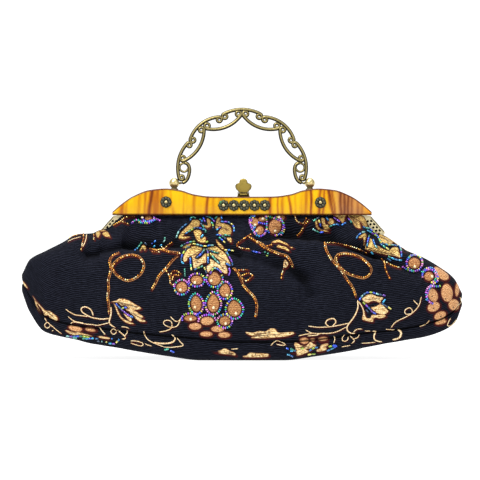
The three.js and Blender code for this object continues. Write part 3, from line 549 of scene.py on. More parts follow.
# Grapes. wide and tall are half sizes, tilt in degrees, point pulls the top to a tip.
# Seed beads ring the arc from ring0 to ring1, in degrees; a pearl sits at pearl_x, pearl_y from the middle.
NO_PEARL = 99
GRAPES = table("x y wide tall tilt point ring0 ring1 pearl_x pearl_y", [
    (181.8, 287.3, 5.6, 5.6, -8, 0.3, 0, 360, -1.2, 2.6),
    (196.7, 280.2, 6, 4.6, 0, 0, 0, 360, -1.8, 2.4),
    (214.5, 278.6, 6.4, 6.8, 0, 0.9, -200, 20, -3.2, 2.2),
    (224.9, 290.4, 5.5, 6.8, -8, 0.8, 0, 360, 1.9, 4.6),
    (196.1, 303.7, 5.5, 8.3, 6, 0.6, 0, 360, -1.2, 3.2),
    (213.3, 303.2, 6.1, 9.4, 0, 1, 0, 360, 0.2, 4.4),
    (234.4, 308.6, 7, 8.3, 8, 0.7, 0, 360, 1.6, 4.8),
    (190.3, 318.3, 6.6, 3.2, 0, 0, 0, 200, 0.4, 0.6),
    (207.1, 321, 6.8, 4.4, 4, 0, 5, 175, NO_PEARL, 0),
    (224.8, 321.1, 5.6, 4.9, 0, 0, 0, 360, 0.9, 2.2),
    (195.1, 326.4, 6.4, 3.6, 0, 0, 0, 0, NO_PEARL, 0),
    (217.6, 329.1, 6.7, 3.2, 0, 0, 0, 0, NO_PEARL, 0),
    (206.3, 334.1, 6.4, 2.8, 0, 0, 0, 0, NO_PEARL, 0),
    (224.2, 335, 6.3, 3, 0, 0, 0, 0, NO_PEARL, 0),
    (255, 221.8, 3.6, 4.4, 20, 0, 70, 250, 0.4, 3.6),
    (259.7, 230.4, 4, 4.4, -20, 0, 180, 380, -2.6, 1.4),
    (262.4, 219, 4.2, 2.6, 0, 0, 0, 0, 0.4, 0.4),
    (275, 226.6, 6.3, 7.6, -18, 0, -70, 110, -0.4, 4.6),
    (281, 217.6, 4, 2.6, 0, 0, 0, 0, -1.8, 0.2),
    (148.4, 218, 3.9, 2.4, 0, 0, 180, 360, -6, 0.2),
    (414.2, 263.4, 6, 5.6, -20, 0, 0, 360, 0.4, 3),
    (429, 276.4, 4.8, 4.6, -20, 0, -50, 210, 2.4, 0.4),
    (432.9, 295.1, 5, 7.2, 20, 0, 60, 240, NO_PEARL, 0),
    (441.3, 273.4, 9.2, 5, -42, 0, 0, 0, NO_PEARL, 0),
    (447, 292.8, 6, 9.2, 6, 0.3, 0, 0, NO_PEARL, 0),
    (433.7, 306.9, 6.6, 4.8, 25, 0, 0, 0, NO_PEARL, 0),
    (454, 304.9, 5.6, 6, 30, 0, 0, 0, NO_PEARL, 0),
    (440.2, 315.6, 6.4, 4, 25, 0, 0, 0, NO_PEARL, 0),
    (441, 322, 6.2, 2.6, 14, 0, 0, 0, NO_PEARL, 0),
    (457.4, 288.8, 2.4, 8, -6, 0, 0, 0, NO_PEARL, 0),
    (75.2, 328.6, 7.4, 3, -12, 0, 0, 0, NO_PEARL, 0),
    (90.2, 329.4, 6.4, 2.4, -10, 0, 0, 0, NO_PEARL, 0),
    (304.3, 340.9, 5, 3.4, 0, 0, 0, 0, NO_PEARL, 0),
    (312.6, 339.9, 2.9, 2, 0, 0, 0, 0, NO_PEARL, 0),
    (323.1, 339, 5.4, 2.3, 4, 0, 0, 0, NO_PEARL, 0),
])

# Small dark marks on the grapes
MARKS = [
    (431.6, 296.6), (445.2, 299), (433.4, 308.4), (440.4, 316.4), (452.8, 307.6), (75.1, 327), (196.6, 326.6),
    (207.6, 322.6), (217.4, 330), (224.6, 335.6),
]

# Vines sewn over with gold beads
VINES = {
    "left_loop": [
        (112.9, 266), (120.2, 258.7), (128.6, 255.5), (137.1, 256.6), (142.3, 261.8), (142.9, 268.1),
        (139.2, 274.5), (131.8, 279.2), (125.5, 279.7), (118.1, 275.5), (113.9, 270.2), (112.9, 266),
    ],
    "left_stem": [
        (118.7, 252.9), (112.9, 255.5), (109.2, 260.8), (110.2, 269.2), (107.6, 280.8), (108.1, 288.1),
        (107.1, 296.6), (108.1, 305), (108.7, 313.4),
    ],
    "left_twig": [
        (149.8, 249.2), (154.2, 250), (156.8, 250.8), (159.2, 249.8), (163, 250.4), (166.7, 251.7),
        (170.8, 252.6), (179.6, 253.5),
    ],
    "left_twig_under": [(152.2, 252.2), (158.9, 252.4)],
    "left_twig_spur": [(164.4, 249.6), (167.5, 245.5), (171.4, 242.8)],
    "left_twig_nib": [(161.9, 247.2), (164, 250)],
    "left_twig_fall": [
        (177.6, 255), (171.9, 260.1), (165.3, 268.3), (158.7, 275.4), (155.1, 282.6), (151, 289.7),
    ],
    "left_twig_branch": [(165.3, 269.3), (169.4, 276.4), (170.4, 283.6), (173.4, 284.8)],
    "left_twig_curl": [(170.9, 276), (171.9, 271.8), (176.5, 270.8), (180.6, 273.9)],
    "left_twig_curl_inner": [(172.4, 279.4), (174, 275), (178.4, 275.4)],
    "middle_twig": [
        (233.2, 268.8), (236.7, 272.3), (239.8, 278.5), (242.9, 285.6), (248, 291.7), (253.1, 296.8),
        (256.1, 305), (255.1, 316.2),
    ],
    "middle_twig_spur": [(236.7, 270.3), (248, 269.8)],
    "middle_twig_curl": [
        (242.3, 275.4), (248, 273.4), (252.6, 275.4), (250, 278.5), (245.9, 281), (242.3, 278.5),
    ],
    "right_vine": [
        (249.5, 237.7), (257.1, 242.8), (263.3, 247.3), (268.4, 250), (274, 252.4), (280.3, 254.8),
        (285.7, 256.2), (289, 259.2), (292.4, 266.4),
    ],
    "right_vine_top": [(257.6, 241.6), (264.8, 245.2), (267.8, 246), (271.4, 244.8)],
    "right_leaflet_tail": [(284, 267), (283, 270.6), (281.7, 273.9), (281.2, 278)],
    "right_vine_hook": [(250.5, 234.6), (243.9, 238.7), (236.7, 244.8), (241, 248), (248.5, 249.4)],
    "top_hook": [(294.9, 216.2), (296.9, 221.3), (303.1, 223.4), (306.1, 218.3)],
    "top_line": [(309, 220.3), (304, 225.4), (301, 231.5), (297.4, 235.6)],
    "right_stem": [
        (324.4, 242.9), (325.6, 249.8), (331.3, 260.1), (339.4, 269.3), (346.3, 279.6), (352, 287.7),
        (355.4, 296.8),
    ],
    "right_crown": [(324.4, 242.9), (335.9, 243.5), (347.4, 245.8), (358.9, 249.2), (365.8, 252.6)],
    "right_loop": [
        (337.1, 262.4), (336.5, 257.8), (340.5, 254.4), (349.7, 254.4), (358.9, 257.2), (365.8, 262.4),
        (370.4, 268.1), (369.2, 273.9), (363.5, 277.3), (355.4, 275.6), (347.4, 272.7), (341.7, 268.1),
        (337.1, 262.4),
    ],
    "right_twig": [(381.8, 259), (384.1, 262.4), (385.3, 269.3), (389.3, 277.9)],
    "right_twig_spur": [(384.1, 261.3), (392.2, 265.8), (400.2, 268.1)],
    "left_ridge": [(68.8, 238.2), (72.8, 236.6), (77.1, 235.4), (80.9, 234.8)],
    "left_ridge_fall": [(83.4, 234), (83.4, 238.6), (82.4, 242.4), (81.8, 245.5), (80.9, 249.6)],
    "left_ridge_dash": [(94, 234.6), (94, 239.6)],
    "left_shoulder_twig": [(113.8, 225.4), (120.7, 221.4), (125.6, 217.4), (134.5, 216.5)],
    "left_shoulder_spur": [(120.7, 221.4), (127.6, 223.9)],
}

# Tendrils of plain woven thread
TENDRILS = {
    "left_ridge_thread": [(67.6, 241.8), (72.1, 239.5), (76.5, 238.2), (80.9, 237)],
    "left_ridge_fall_thread": [(86.5, 234.6), (86.2, 238), (84.9, 242.4), (82.6, 247.2)],
    "left_foot": [(111, 307.1), (110.8, 314.4), (109.2, 322.9), (113.9, 327.1)],
    "left_long": [(65.6, 309.1), (70, 312.3), (75, 314.8), (80.6, 315.6), (87.5, 316.6)],
    "left_ring": [
        (93.1, 315.6), (91.3, 310.4), (87.5, 307.6), (83.8, 306.9), (80.9, 309.1), (82.5, 312.3),
        (86.3, 314.9), (91.3, 317.3), (96.3, 318.5), (102.5, 319.1), (109.2, 318.4),
    ],
    "left_low": [(68.1, 316.6), (71.9, 319.8), (76.3, 321.8), (83.3, 322.9)],
    "left_low_two": [
        (70.6, 323.6), (73.3, 322), (78.3, 322.6), (87, 324.2), (92, 324.5), (97, 325.4), (103.3, 324.2),
        (108.6, 322.8),
    ],
    "left_low_tail": [(108.9, 322.8), (112, 326), (115.4, 327.4)],
    "left_dash": [(121.2, 326.9), (125.1, 327), (129, 328.6)],
    "curl_head": [(170.4, 316.7), (175.5, 321.3), (179.6, 320.3), (181.6, 316.7)],
    "curl": [
        (180.6, 318.3), (177.6, 325.4), (171.9, 327.4), (165.3, 325.4), (163.3, 322.3), (166.3, 320.3),
        (170.9, 321.3), (171.9, 324.9), (170.9, 328.5), (165.3, 331), (159.2, 332),
    ],
    "right_foot": [
        (357.7, 300.3), (357.7, 308.3), (354.3, 316.4), (348.5, 324.4), (346.9, 327.4), (347.9, 331.3),
        (351.8, 333.4), (355.2, 333),
    ],
    "right_foot_curl": [(353.3, 332.4), (356, 329.9), (359.3, 328.9), (362.5, 329.3)],
    "right_dash": [(365, 331), (370.4, 331)],
    "right_long": [(308.4, 326.1), (318.7, 327.3), (330.2, 326.7), (340.5, 325), (348.5, 323.2)],
    "right_ring": [
        (329, 326.7), (325.6, 323.2), (327.9, 319.8), (333.6, 318.6), (335.9, 322.1), (332.5, 326.1),
    ],
    "right_low": [
        (307.7, 336), (316.8, 335.1), (320.2, 333.6), (328.5, 333.4), (336.8, 331.8), (346.4, 327),
    ],
    "right_low_spur": [(305.8, 330), (310.2, 332.6), (315.4, 333.6), (320, 333.6)],
    "right_low_end": [(298.4, 336), (305.4, 334.4), (312, 333.8)],
    "end_tendril": [
        (391, 327.8), (395.6, 322.1), (404.8, 317.5), (411.7, 313.5), (418.6, 306), (421.4, 296.8),
    ],
    "end_tendril_spur": [(413.4, 300.3), (418.6, 305.5)],
    "end_tendril_ring": [
        (411.1, 313.5), (405.9, 314.1), (404.8, 310.6), (409.4, 307.7), (412.3, 310.6), (411.1, 313.5),
    ],
    "end_dash": [(419.7, 326.7), (425.5, 324.4), (429.5, 320.4)],
    "end_twig": [(460, 297), (461, 302.6), (456.5, 306)],
    "end_fork": [(450.7, 318), (447.3, 325), (451, 325.5), (457.4, 318.7)],
    "right_leaf_edge": [(358.5, 301.4), (363, 309), (364, 317)],
    "base_ring_left": [(50.2, 325.4), (47.3, 322.4), (44.4, 325.4), (47.3, 328.2), (50.2, 325.4)],
    "base_drop_left": [(44.4, 317.9), (46.9, 322)],
    "base_line_left": [(49.2, 324.1), (52.5, 326.6), (56.9, 330.4), (61.6, 333.8)],
    "base_dot_left": [(51.8, 331.2), (53.3, 330.2)],
    "base_ring_mid": [(116.6, 331.6), (113.6, 328.7), (110.6, 331.6), (113.6, 334.5), (116.6, 331.6)],
    "base_twig_mid": [(99.5, 327.4), (102, 331), (105.3, 335)],
    "base_fork_mid": [(117.4, 329.8), (121.4, 333.5), (124.5, 336), (125.2, 338.7), (121.8, 339)],
    "base_fork_arm": [(124.5, 336), (127, 333.1), (127.1, 330.2)],
    "base_curl_mid": [
        (130.6, 341), (135.1, 341), (140.8, 342.3), (143.3, 344.2), (141.2, 346), (135.8, 344.8),
        (130.6, 343),
    ],
    "base_curl_end": [(144.9, 343.4), (147, 344.8), (151.6, 346)],
    "base_arc_one": [
        (143.7, 331), (144.6, 335), (147.6, 339.4), (152, 342.2), (158.7, 345), (163.9, 347),
    ],
    "base_arc_two": [
        (153.7, 342.6), (160.3, 343.4), (167.8, 343.4), (172.8, 342), (175.2, 339.1), (173.7, 336.2),
        (171.8, 334.7),
    ],
    "base_arc_three": [
        (163.7, 347), (169.5, 347.4), (175.3, 347), (183.2, 345.6), (180.3, 342), (176.8, 338),
    ],
    "base_dash_centre": [(231, 349.2), (238, 348.7)],
    "base_bow": [
        (270.9, 345.8), (273.5, 342.8), (277.6, 340.7), (285.7, 344.8), (281.6, 345.4), (276.5, 344.3),
    ],
    "base_stroke_right": [(333.9, 336.2), (334.9, 338.8), (333.8, 343.2)],
    "base_ring_right": [
        (344.8, 334.7), (342.6, 337.2), (342.3, 340.3), (345.4, 341.4), (347.9, 339.4), (348.2, 336.8),
    ],
    "base_vee": [(350, 336.1), (353.5, 339.2), (354.4, 340.9), (351.6, 343.6)],
    "base_vee_arm": [(354.1, 338.9), (357.7, 337.6), (359.5, 334.4)],
    "base_hook_right": [
        (372.5, 331.2), (376, 331.5), (374.4, 334.7), (374.1, 338), (376.2, 340.7), (382, 341.8),
    ],
    "base_arch_line": [(385.8, 329.2), (394.5, 329.8)],
    "base_arch_right": [(397.5, 329.3), (400.8, 331.9), (400.8, 335.5), (398.3, 338.3), (392.5, 339.8)],
    "base_edge_right": [(341.6, 346.9), (350.4, 345.4)],
    "base_edge_end": [(361.6, 343.2), (366.8, 343), (375.4, 342.2)],
}

# Tendrils that are woven wider than the rest, and how much
WIDE_TENDRILS = {
    "left_foot": 1.5, "right_foot": 1.4, "left_ring": 1.3, "right_ring": 1.3, "base_arc_two": 1.7,
    "base_hook_right": 1.6, "base_arch_right": 2.4, "base_fork_mid": 1.3,
}

# Bugle beads, laid end to end along these lines
BUGLES = [
    # The upper leaf of the middle vine
    [(176.3, 238.4), (178.5, 232.4), (181.5, 228.5), (186.7, 224.1)],
    [(190.6, 221.1), (190.2, 218.5), (192.8, 217.2), (195.9, 218.5)],
    [(185, 234.1), (189.3, 231.5), (193.7, 228.7), (197.6, 228), (201.9, 229.1)],
    [(199.8, 219.4), (202.6, 222.4)], [(203, 217.8), (205.2, 222.6)], [(200.6, 223.3), (204.1, 228)],
    [(205.4, 216.8), (209.3, 217.4), (212.3, 219.4), (214.9, 222.4)],
    [(211, 222.4), (213.2, 225.4), (212.8, 229.3)], [(201.9, 229.8), (206.3, 230.2), (205.4, 233.4)],
    [(203.6, 235), (201.1, 238)], [(205.4, 243.2), (208.2, 241.4)], [(214.9, 218.9), (217.1, 216.1)],
    [(221.2, 216.2), (222, 219.6)],
    [(220.6, 222.2), (227.5, 222.4), (232.7, 225.4), (234.4, 228.4), (234, 232.4)],
    [(216.2, 230.6), (221, 227.6)], [(216.2, 235.4), (218.8, 235), (223.2, 237.2), (226.2, 239.8)],
    [(219.3, 237.6), (225.3, 243.2)], [(224, 235.4), (230.6, 236.3)],
    # The lower leaf of the middle vine
    [(180.7, 247.6), (185, 244.5), (190.6, 242.4), (195.4, 241.9)],
    [(192.4, 244.1), (198, 245), (202.4, 246.3), (206.7, 246.3), (210.2, 245.4), (214, 245.8)],
    [(185, 248.4), (190.2, 247.6)],
    [(186.7, 249.3), (182.8, 253.6), (181.5, 257.5), (181.3, 261.9), (184.1, 264)],
    [(204.5, 249.7), (201.5, 254.1), (195.9, 258)], [(190.2, 257.5), (190.6, 264), (191.5, 270.6)],
    [(184.6, 268.4), (185, 277)], [(194.1, 270.1), (197.2, 268.4), (200.6, 267.1), (203.2, 265.8)],
    [(204.1, 267.1), (206.7, 273.6)], [(210, 274.4), (213.6, 267.9), (217.5, 268.8), (221.8, 273)],
    [(206.3, 249.3), (208, 253.6), (208, 258), (208, 263.6)],
    [(210.2, 253.6), (213.6, 258), (219.3, 263.6)], [(209.3, 250.6), (213.6, 252.8), (218.8, 253.6)],
    [(226.2, 252.3), (228.8, 257.1), (231.8, 261.9), (232.3, 266)],
    [(228.8, 267.9), (230.3, 272.2), (228.4, 276)], [(225.8, 263.4), (230.3, 265.8)],
    [(224, 250.6), (228.4, 250.2), (234, 251.5)],
    # The large leaves at the left and the right
    [(115.6, 303.3), (121.2, 308.9), (125.2, 312.5), (129.2, 315.5), (133.4, 317)],
    [(121.6, 308.6), (123.6, 307.4), (127, 307.8)],
    [
        (359, 300.4), (361.7, 296.4), (366.1, 292.8), (370.5, 292.3), (374.3, 292.9), (377.2, 294.2),
        (381.3, 294.7), (385.5, 295.7),
    ],
    [(385.3, 299.2), (382.3, 302.8)], [(381.3, 303.2), (385.1, 305.5), (391.2, 309.2)],
    [(362.6, 302), (366.1, 305.2), (369.6, 308.8), (372.5, 312.3), (375.9, 313.6)],
    [(365.8, 309), (368.2, 312.2)],
    # The buds and leaves on the right shoulder
    [(313.3, 222), (316.5, 219.1), (319.8, 217.4)], [(318.5, 220), (320.6, 226.8)],
    [(312.6, 228.8), (318.5, 232.7), (323.4, 232.1)], [(326.4, 217.6), (328.4, 220.8)],
    [(329.5, 226.9), (334.7, 224.6), (339, 225.2)], [(333.4, 218), (339.9, 222.3)],
    [(341.2, 225.6), (346.2, 223)], [(348.2, 218.6), (352, 223.4)],
    [(362, 227.5), (370.5, 229.5), (377, 236.6), (382.2, 243.8), (392, 245.7), (398.5, 246.4)],
    [(366.6, 230.6), (371.8, 233.8), (379, 238.6)], [(356.6, 239.4), (359.2, 234.9), (364.6, 231.9)],
    [(368.8, 235.6), (367.3, 240.5), (366.4, 246.6)], [(373.1, 240.1), (374.4, 244.4), (377.2, 248)],
    [(380.7, 244.2), (384.2, 247), (388.5, 249.8)], [(399.1, 247), (400.6, 250.9), (401.3, 257)],
    [(387.8, 256.1), (392, 258.1), (397.2, 260), (402, 260.2)], [(387, 258.3), (391, 260.9)],
    [(371, 251.6), (373.3, 254.6)],
    # The twig at the left
    [(134.9, 251), (137.5, 248.2), (142.1, 242.4)], [(144.4, 242.6), (147.1, 245.4)],
    [(151.4, 243.8), (152.9, 243.9)], [(154, 243), (155.6, 240.5)], [(153.4, 247.6), (155.2, 245.6)],
    [(160.1, 246.6), (162.2, 244.6)], [(163.4, 242.9), (165.4, 239.7), (164.8, 237.4)],
    # Under the right vine
    [(252.6, 251.4), (261, 253)], [(264.9, 251), (265.1, 253)], [(268.1, 252.6), (267.8, 254.2)],
    [(265.9, 255.4), (268.4, 255.8)],
    # Along the base
    [(66.2, 335.5), (72, 336.2), (79.5, 335.9), (84.5, 336.3), (89.7, 337.2)],
    [(73, 337.2), (77.4, 337.3)], [(82.4, 337.9), (88.3, 338.3), (94.2, 338)],
    [(95, 338.3), (98.6, 338.4)], [(97, 340.5), (99.8, 340.9)], [(101.4, 341), (102.8, 341.2)],
    [(105.6, 341.6), (107.4, 341.8)], [(111.2, 338.2), (112.8, 338.8)], [(116, 342.5), (119.6, 339)],
    [(108.7, 343), (115.3, 343.4)], [(164.3, 349.6), (168.9, 348.6)], [(170.1, 350.2), (174.7, 352)],
    [(285.8, 347.8), (288.7, 348.9)], [(290, 348.2), (294.5, 350.6)], [(290, 351), (296.2, 350.4)],
    [(300.6, 349), (303.8, 347.8)], [(309, 350.7), (314.5, 347.4), (318, 347.2)],
    [(307.5, 354.3), (311.8, 353.5), (315.4, 353.4)], [(326.6, 350.6), (332.7, 348), (337, 345.4)],
    [(328.3, 346.5), (336, 345)], [(286.6, 354.1), (291, 354.8), (293, 356.4)],
]

# Loose rows of seed beads beside the grapes
SEED_ROWS = [
    # Under the frame
    [(254, 217), (251.2, 221.4), (250.6, 226), (252.4, 230.6), (256, 234)],
    [(266, 217), (266.6, 223), (266.2, 229), (268.6, 233)], [(258.6, 223.2), (266, 224.6)],
    [(268, 216.8), (273, 218.4), (279, 220.6), (283, 222.4), (284.4, 227), (283.4, 232), (281, 235)],
    # On the left shoulder
    [(131.6, 223.6), (136, 220.4), (141, 221.6), (146, 222), (152, 221)],
    [(139, 222.6), (145, 223.6), (151, 222.6), (156, 219.6), (160, 221)],
    # At the right end
    [(402.5, 267), (408, 270.6), (414, 271.6), (419.6, 270)],
    [(422, 272.4), (426, 269), (432, 268.8), (436.4, 273.4), (437.2, 280.4), (433, 284)],
    [(431, 285.6), (427.6, 292), (426.2, 299.6)], [(430.4, 285.4), (436, 286.6), (439.4, 286.2)],
]

# Vines with a thread beside the beads
THREADED_VINES = (
    "left_loop", "left_stem", "left_twig_fall", "middle_twig", "right_loop", "right_stem", "right_vine",
    "left_twig",
)

# Beadwork sizes; a lift is how far a bead's middle stands off the cloth, as a share of its radius
SEED_RADIUS = 1.0
SEED_THICK = 0.74
SEED_LIFT = 0.62
SEED_PITCH = 1.8
GOLD_RADIUS = 0.67
GOLD_LONG = 1.25
GOLD_LIFT = 0.55
GOLD_PITCH = 1.85
GOLD_LEAN = 0.14
GOLD_MISSING = 0.1
BUGLE_RADIUS = 0.74
BUGLE_LENGTH = 2.7
BUGLE_GAP = 0.25
BUGLE_LIFT = 0.9
PEARL_RADIUS = 1.2
PEARL_LIFT = 0.7
RING_GAP = 1.9  # pixels between a grape and its ring of seed beads
TINT_SPREAD = (0.6, 1.25)
DRAWS = {"seed": 11, "gold": 31, "bugle": 51, "pearl": 71}
THREAD_HALF_WIDTH = 0.38
THREAD_HEIGHT = 0.36
THREAD_LIFT = 0.12
THREAD_SIDES = 6
THREAD_STEP = 1.1
VINE_THREAD_GAP = 1.25
VINE_THREAD_WIDTH = 0.8
TRACE_STEP = 0.4

SEED_TINTS = [
    (0.38, 0.08, 0.82), (0.60, 0.15, 0.76), (0.07, 0.09, 0.80), (0.03, 0.30, 0.60),
    (0.02, 0.48, 0.33), (0.27, 0.54, 0.08), (0.74, 0.66, 0.13), (0.76, 0.30, 0.64), (0.16, 0.05, 0.52),
]
BUGLE_TINTS = [
    (0.02, 0.09, 0.70), (0.04, 0.38, 0.66), (0.06, 0.42, 0.30), (0.32, 0.46, 0.05), (0.17, 0.05, 0.48),
    (0.66, 0.60, 0.14), (0.02, 0.19, 0.66), (0.01, 0.05, 0.12), (0.22, 0.52, 0.50), (0.01, 0.13, 0.34),
    (0.02, 0.20, 0.14),
]
GOLD_TINTS = [
    (1.0, 0.66, 0.20), (0.72, 0.28, 0.03), (1.0, 0.84, 0.48),
    (0.22, 0.06, 0.012), (0.92, 0.45, 0.08), (0.36, 0.11, 0.02),
]

# The woven pattern
FAR = 9.0  # stands for "no motif near", in millimetres
EDGE_ON = (0.2, 0.02)
VINE_HALF_WIDTH = 0.5
MARK_RADIUS = 0.55
BUGLE_SHADE = 1.0
HALO_SHIFT = np.array([0.7, -0.8])
LEAF_HALO = 0.5
GRAPE_HALO = 1.2
GRAPE_HALO_SHIFT = 0.3 * HALO_SHIFT
VINE_HALO = 0.9
RINGED_GROW = 0.5
GRAPE_NARROW = 0.42
GRAPE_NARROW_POWER = 1.4
VEIN_REACH = 0.88
VEIN_HALF_WIDTH = 0.3
SIDE_VEINS = (0.25, 0.42, 0.6, 0.76)
SIDE_VEIN_TURN = math.radians(36)
SIDE_VEIN_REACH = 0.26
SIDE_VEIN_TAPER = 1.3
SIDE_VEIN_HALF_WIDTH = 0.12
LEAF_PUFF = 0.35
LEAF_PUFF_EDGE = (0.6, -1.0)
GRAPE_PUFF = 0.55
GRAPE_PUFF_EDGE = (0.5, -2.7)
RIB_PITCH = 1.55
STITCH_PITCH = 0.85
HATCH_PITCH = 2.2
HATCH_SLANT = 0.8
# Fold depths over which painted shade darkens the cloth in the hollows
FOLD_SHADE_DEPTHS = (-3.5, -10)
GOLDEN_HEIGHT = (78 * MM, 94 * MM)
# Heights over which painted shade under the frame darkens the leaves
FRAME_SHADE_HEIGHT = (98 * MM, 112 * MM)


# Curves and small maths

def lerp(a, b, t):
    return a + (b - a) * t


def smoothstep(t):
    s = np.clip(t, 0, 1)
    return s * s * (3 - 2 * s)


def rise(value, start, full):
    """From 0 at the start to 1 where it is full, which may lie either way."""
    return smoothstep((value - start) / (full - start))


def turns(count):
    """Angles of so many even steps round a circle."""
    return np.arange(count) * 2 * math.pi / count


def through(rows, key, column, at):
    """A smooth curve through a table's rows, with no overshoot between them."""
    xs, ys = rows[key], rows[column]
    slopes = np.diff(ys) / np.diff(xs)
    before, after = slopes[:-1], slopes[1:]
    turning = before * after <= 0
    slope = np.concatenate([
        slopes[:1],
        np.where(turning, 0, 2 * before * after / np.where(turning, 1, before + after)),
        slopes[-1:],
    ])
    x = np.clip(at, xs[0], xs[-1])
    i = np.clip(np.searchsorted(xs, x) - 1, 0, len(xs) - 2)
    h = xs[i + 1] - xs[i]
    t = (x - xs[i]) / h
    return (
        (2 * t**3 - 3 * t**2 + 1) * ys[i]
        + (t**3 - 2 * t**2 + t) * h * slope[i]
        + (3 * t**2 - 2 * t**3) * ys[i + 1]
        + (t**3 - t**2) * h * slope[i + 1]
    )


def unit(vectors):
    length = np.linalg.norm(vectors, axis=-1, keepdims=True)
    return vectors / np.maximum(length, 1e-9)


def read_along(line, step, *columns):
    """What goes with a polyline's points, read about a step apart along it, ends included."""
    reach = np.concatenate([[0], np.cumsum(np.linalg.norm(np.diff(line, axis=0), axis=1))])
    count = max(2, int(round(reach[-1] / step)) + 1)
    at = np.linspace(0, reach[-1], count)
    return [np.stack([np.interp(at, reach, row) for row in column.T], axis=-1) for column in columns]


def resampled(line, step):
    """Points about a step apart along a polyline."""
    line = np.asarray(line, dtype=float)
    return read_along(line, step, line)[0]


def rounded(line, step):
    """A smooth curve through the points of a line, closed if its ends meet."""
    p = np.asarray(line, dtype=float)
    closed = np.allclose(p[0], p[-1])
    ahead, behind = (p[1], p[-2]) if closed else (2 * p[-1] - p[-2], 2 * p[0] - p[1])
    q = np.vstack([behind, p, ahead])
    t = np.linspace(0, 1, 12, endpoint=False)[:, None]
    parts = [
        0.5 * (2 * b + (c - a) * t + (2 * a - 5 * b + 4 * c - d) * t**2 + (3 * b - a - 3 * c + d) * t**3)
        for a, b, c, d in zip(q[:-3], q[1:-2], q[2:-1], q[3:])
    ]
    return resampled(np.vstack(parts + [p[-1:]]), step)


# Meshes

def make_piece(name, points, faces, material, closed=False):
    mesh = bpy.data.meshes.new(name)
    mesh.from_pydata((np.asarray(points) * MM).tolist(), [], [list(map(int, face)) for face in faces])
    if closed:
        shape = bmesh.new()
        shape.from_mesh(mesh)
        bmesh.ops.recalc_face_normals(shape, faces=shape.faces)
        shape.to_mesh(mesh)
        shape.free()
    mesh.materials.append(material)
    mesh.shade_smooth()
    piece = bpy.data.objects.new(name, mesh)
    bpy.context.scene.collection.objects.link(piece)
    return piece


def paint(piece, name, values):
    """A number at every point of the mesh, for its material."""
    layer = piece.data.attributes.new(name, "FLOAT", "POINT")
    layer.data.foreach_set("value", np.asarray(values, dtype=np.float32).ravel())


def tint(piece, colours):
    layer = piece.data.attributes.new("tint", "FLOAT_COLOR", "POINT")
    rgba = np.ones((len(colours), 4), dtype=np.float32)
    rgba[:, :3] = colours
    layer.data.foreach_set("color", rgba.ravel())


def normals_of(piece):
    facing = np.empty(3 * len(piece.data.vertices), dtype=np.float32)
    piece.data.vertex_normals.foreach_get("vector", facing)
    return facing.reshape(-1, 3)


def lay_weave(piece, across, down):
    """Weave coordinates in millimetres along and down the cloth."""
    layer = piece.data.uv_layers.new(name="weave")
    corners = np.empty(len(piece.data.loops), dtype=np.int32)
    piece.data.loops.foreach_get("vertex_index", corners)
    places = np.stack([across[corners], down[corners]], axis=-1)
    layer.data.foreach_set("uv", places.astype(np.float32).ravel())


def joined(parts):
    """One point list and face list from several (points, faces) pairs."""
    points, faces, offset = [], [], 0
    for part_points, part_faces in parts:
        points.append(np.asarray(part_points, dtype=float))
        faces.extend([[index + offset for index in face] for face in part_faces])
        offset += len(part_points)
    return np.vstack(points), faces


def grid_faces(rows, columns, closed_columns=False):
    faces = []
    for i in range(rows - 1):
        for j in range(columns if closed_columns else columns - 1):
            k = (j + 1) % columns
            faces.append((i * columns + j, i * columns + k, (i + 1) * columns + k, (i + 1) * columns + j))
    return faces


def loft(rings, turned=True):
    """A solid through a row of closed rings, with a face at each end, the first one turned about or not."""
    sides = len(rings[0])
    first = tuple(range(sides))
    faces = grid_faces(len(rings), sides, closed_columns=True)
    faces.append(first[::-1] if turned else first)
    faces.append(tuple(range((len(rings) - 1) * sides, len(rings) * sides)))
    return np.vstack(rings), faces


def lathe(profile, sides):
    """A turned solid about +Z from a list of (radius, height)."""
    turn = turns(sides)
    circle = np.stack([np.cos(turn), np.sin(turn), 0 * turn], axis=-1)
    return loft([radius * circle + (0, 0, height) for radius, height in profile])


def tube(path, radius, depth, sides, tips=True):
    """A wire bent in the plane y = 0: radius in the plane, depth across it, tapered at its tips."""
    path = np.asarray(path, dtype=float)
    along = unit(np.gradient(path, axis=0))
    side = np.stack([-along[:, 1], along[:, 0]], axis=-1)
    turn = turns(sides)
    scale = np.ones(len(path))
    if tips:
        scale[[0, -1]] = 0.5
    rings = []
    for (x, z), (sx, sz), half, deep in zip(path, side, radius * scale, depth * scale):
        across = half * np.cos(turn)
        rings.append(np.stack([x + across * sx, deep * np.sin(turn), z + across * sz], axis=-1))
    return loft(rings)


def points_and_faces(shape):
    """What a bmesh holds, which is freed."""
    points = np.array([vertex.co for vertex in shape.verts])
    faces = [[vertex.index for vertex in face.verts] for face in shape.faces]
    shape.free()
    return points, faces


def ball(level):
    """A round bead of radius 1."""
    shape = bmesh.new()
    bmesh.ops.create_icosphere(shape, subdivisions=level, radius=1)
    return points_and_faces(shape)


def rod(sides):
    """A bead of length 1 and radius 1 along X, with softened ends."""
    turn = turns(sides)
    circle = np.stack([0 * turn, np.cos(turn), np.sin(turn)], axis=-1)
    ends = [(-0.5, 0.55), (-0.46, 1.0), (0.46, 1.0), (0.5, 0.55)]
    return loft([radius * circle + (x, 0, 0) for x, radius in ends])


def slab(low, high, soft):
    """A bar with softened edges."""
    shape = bmesh.new()
    bmesh.ops.create_cube(shape, size=1)
    for vertex in shape.verts:
        vertex.co = Vector([lerp(a, b, c + 0.5) for a, b, c in zip(low, high, vertex.co)])
    bmesh.ops.bevel(shape, geom=list(shape.edges), offset=soft, segments=2, affect="EDGES", profile=0.5)
    return points_and_faces(shape)


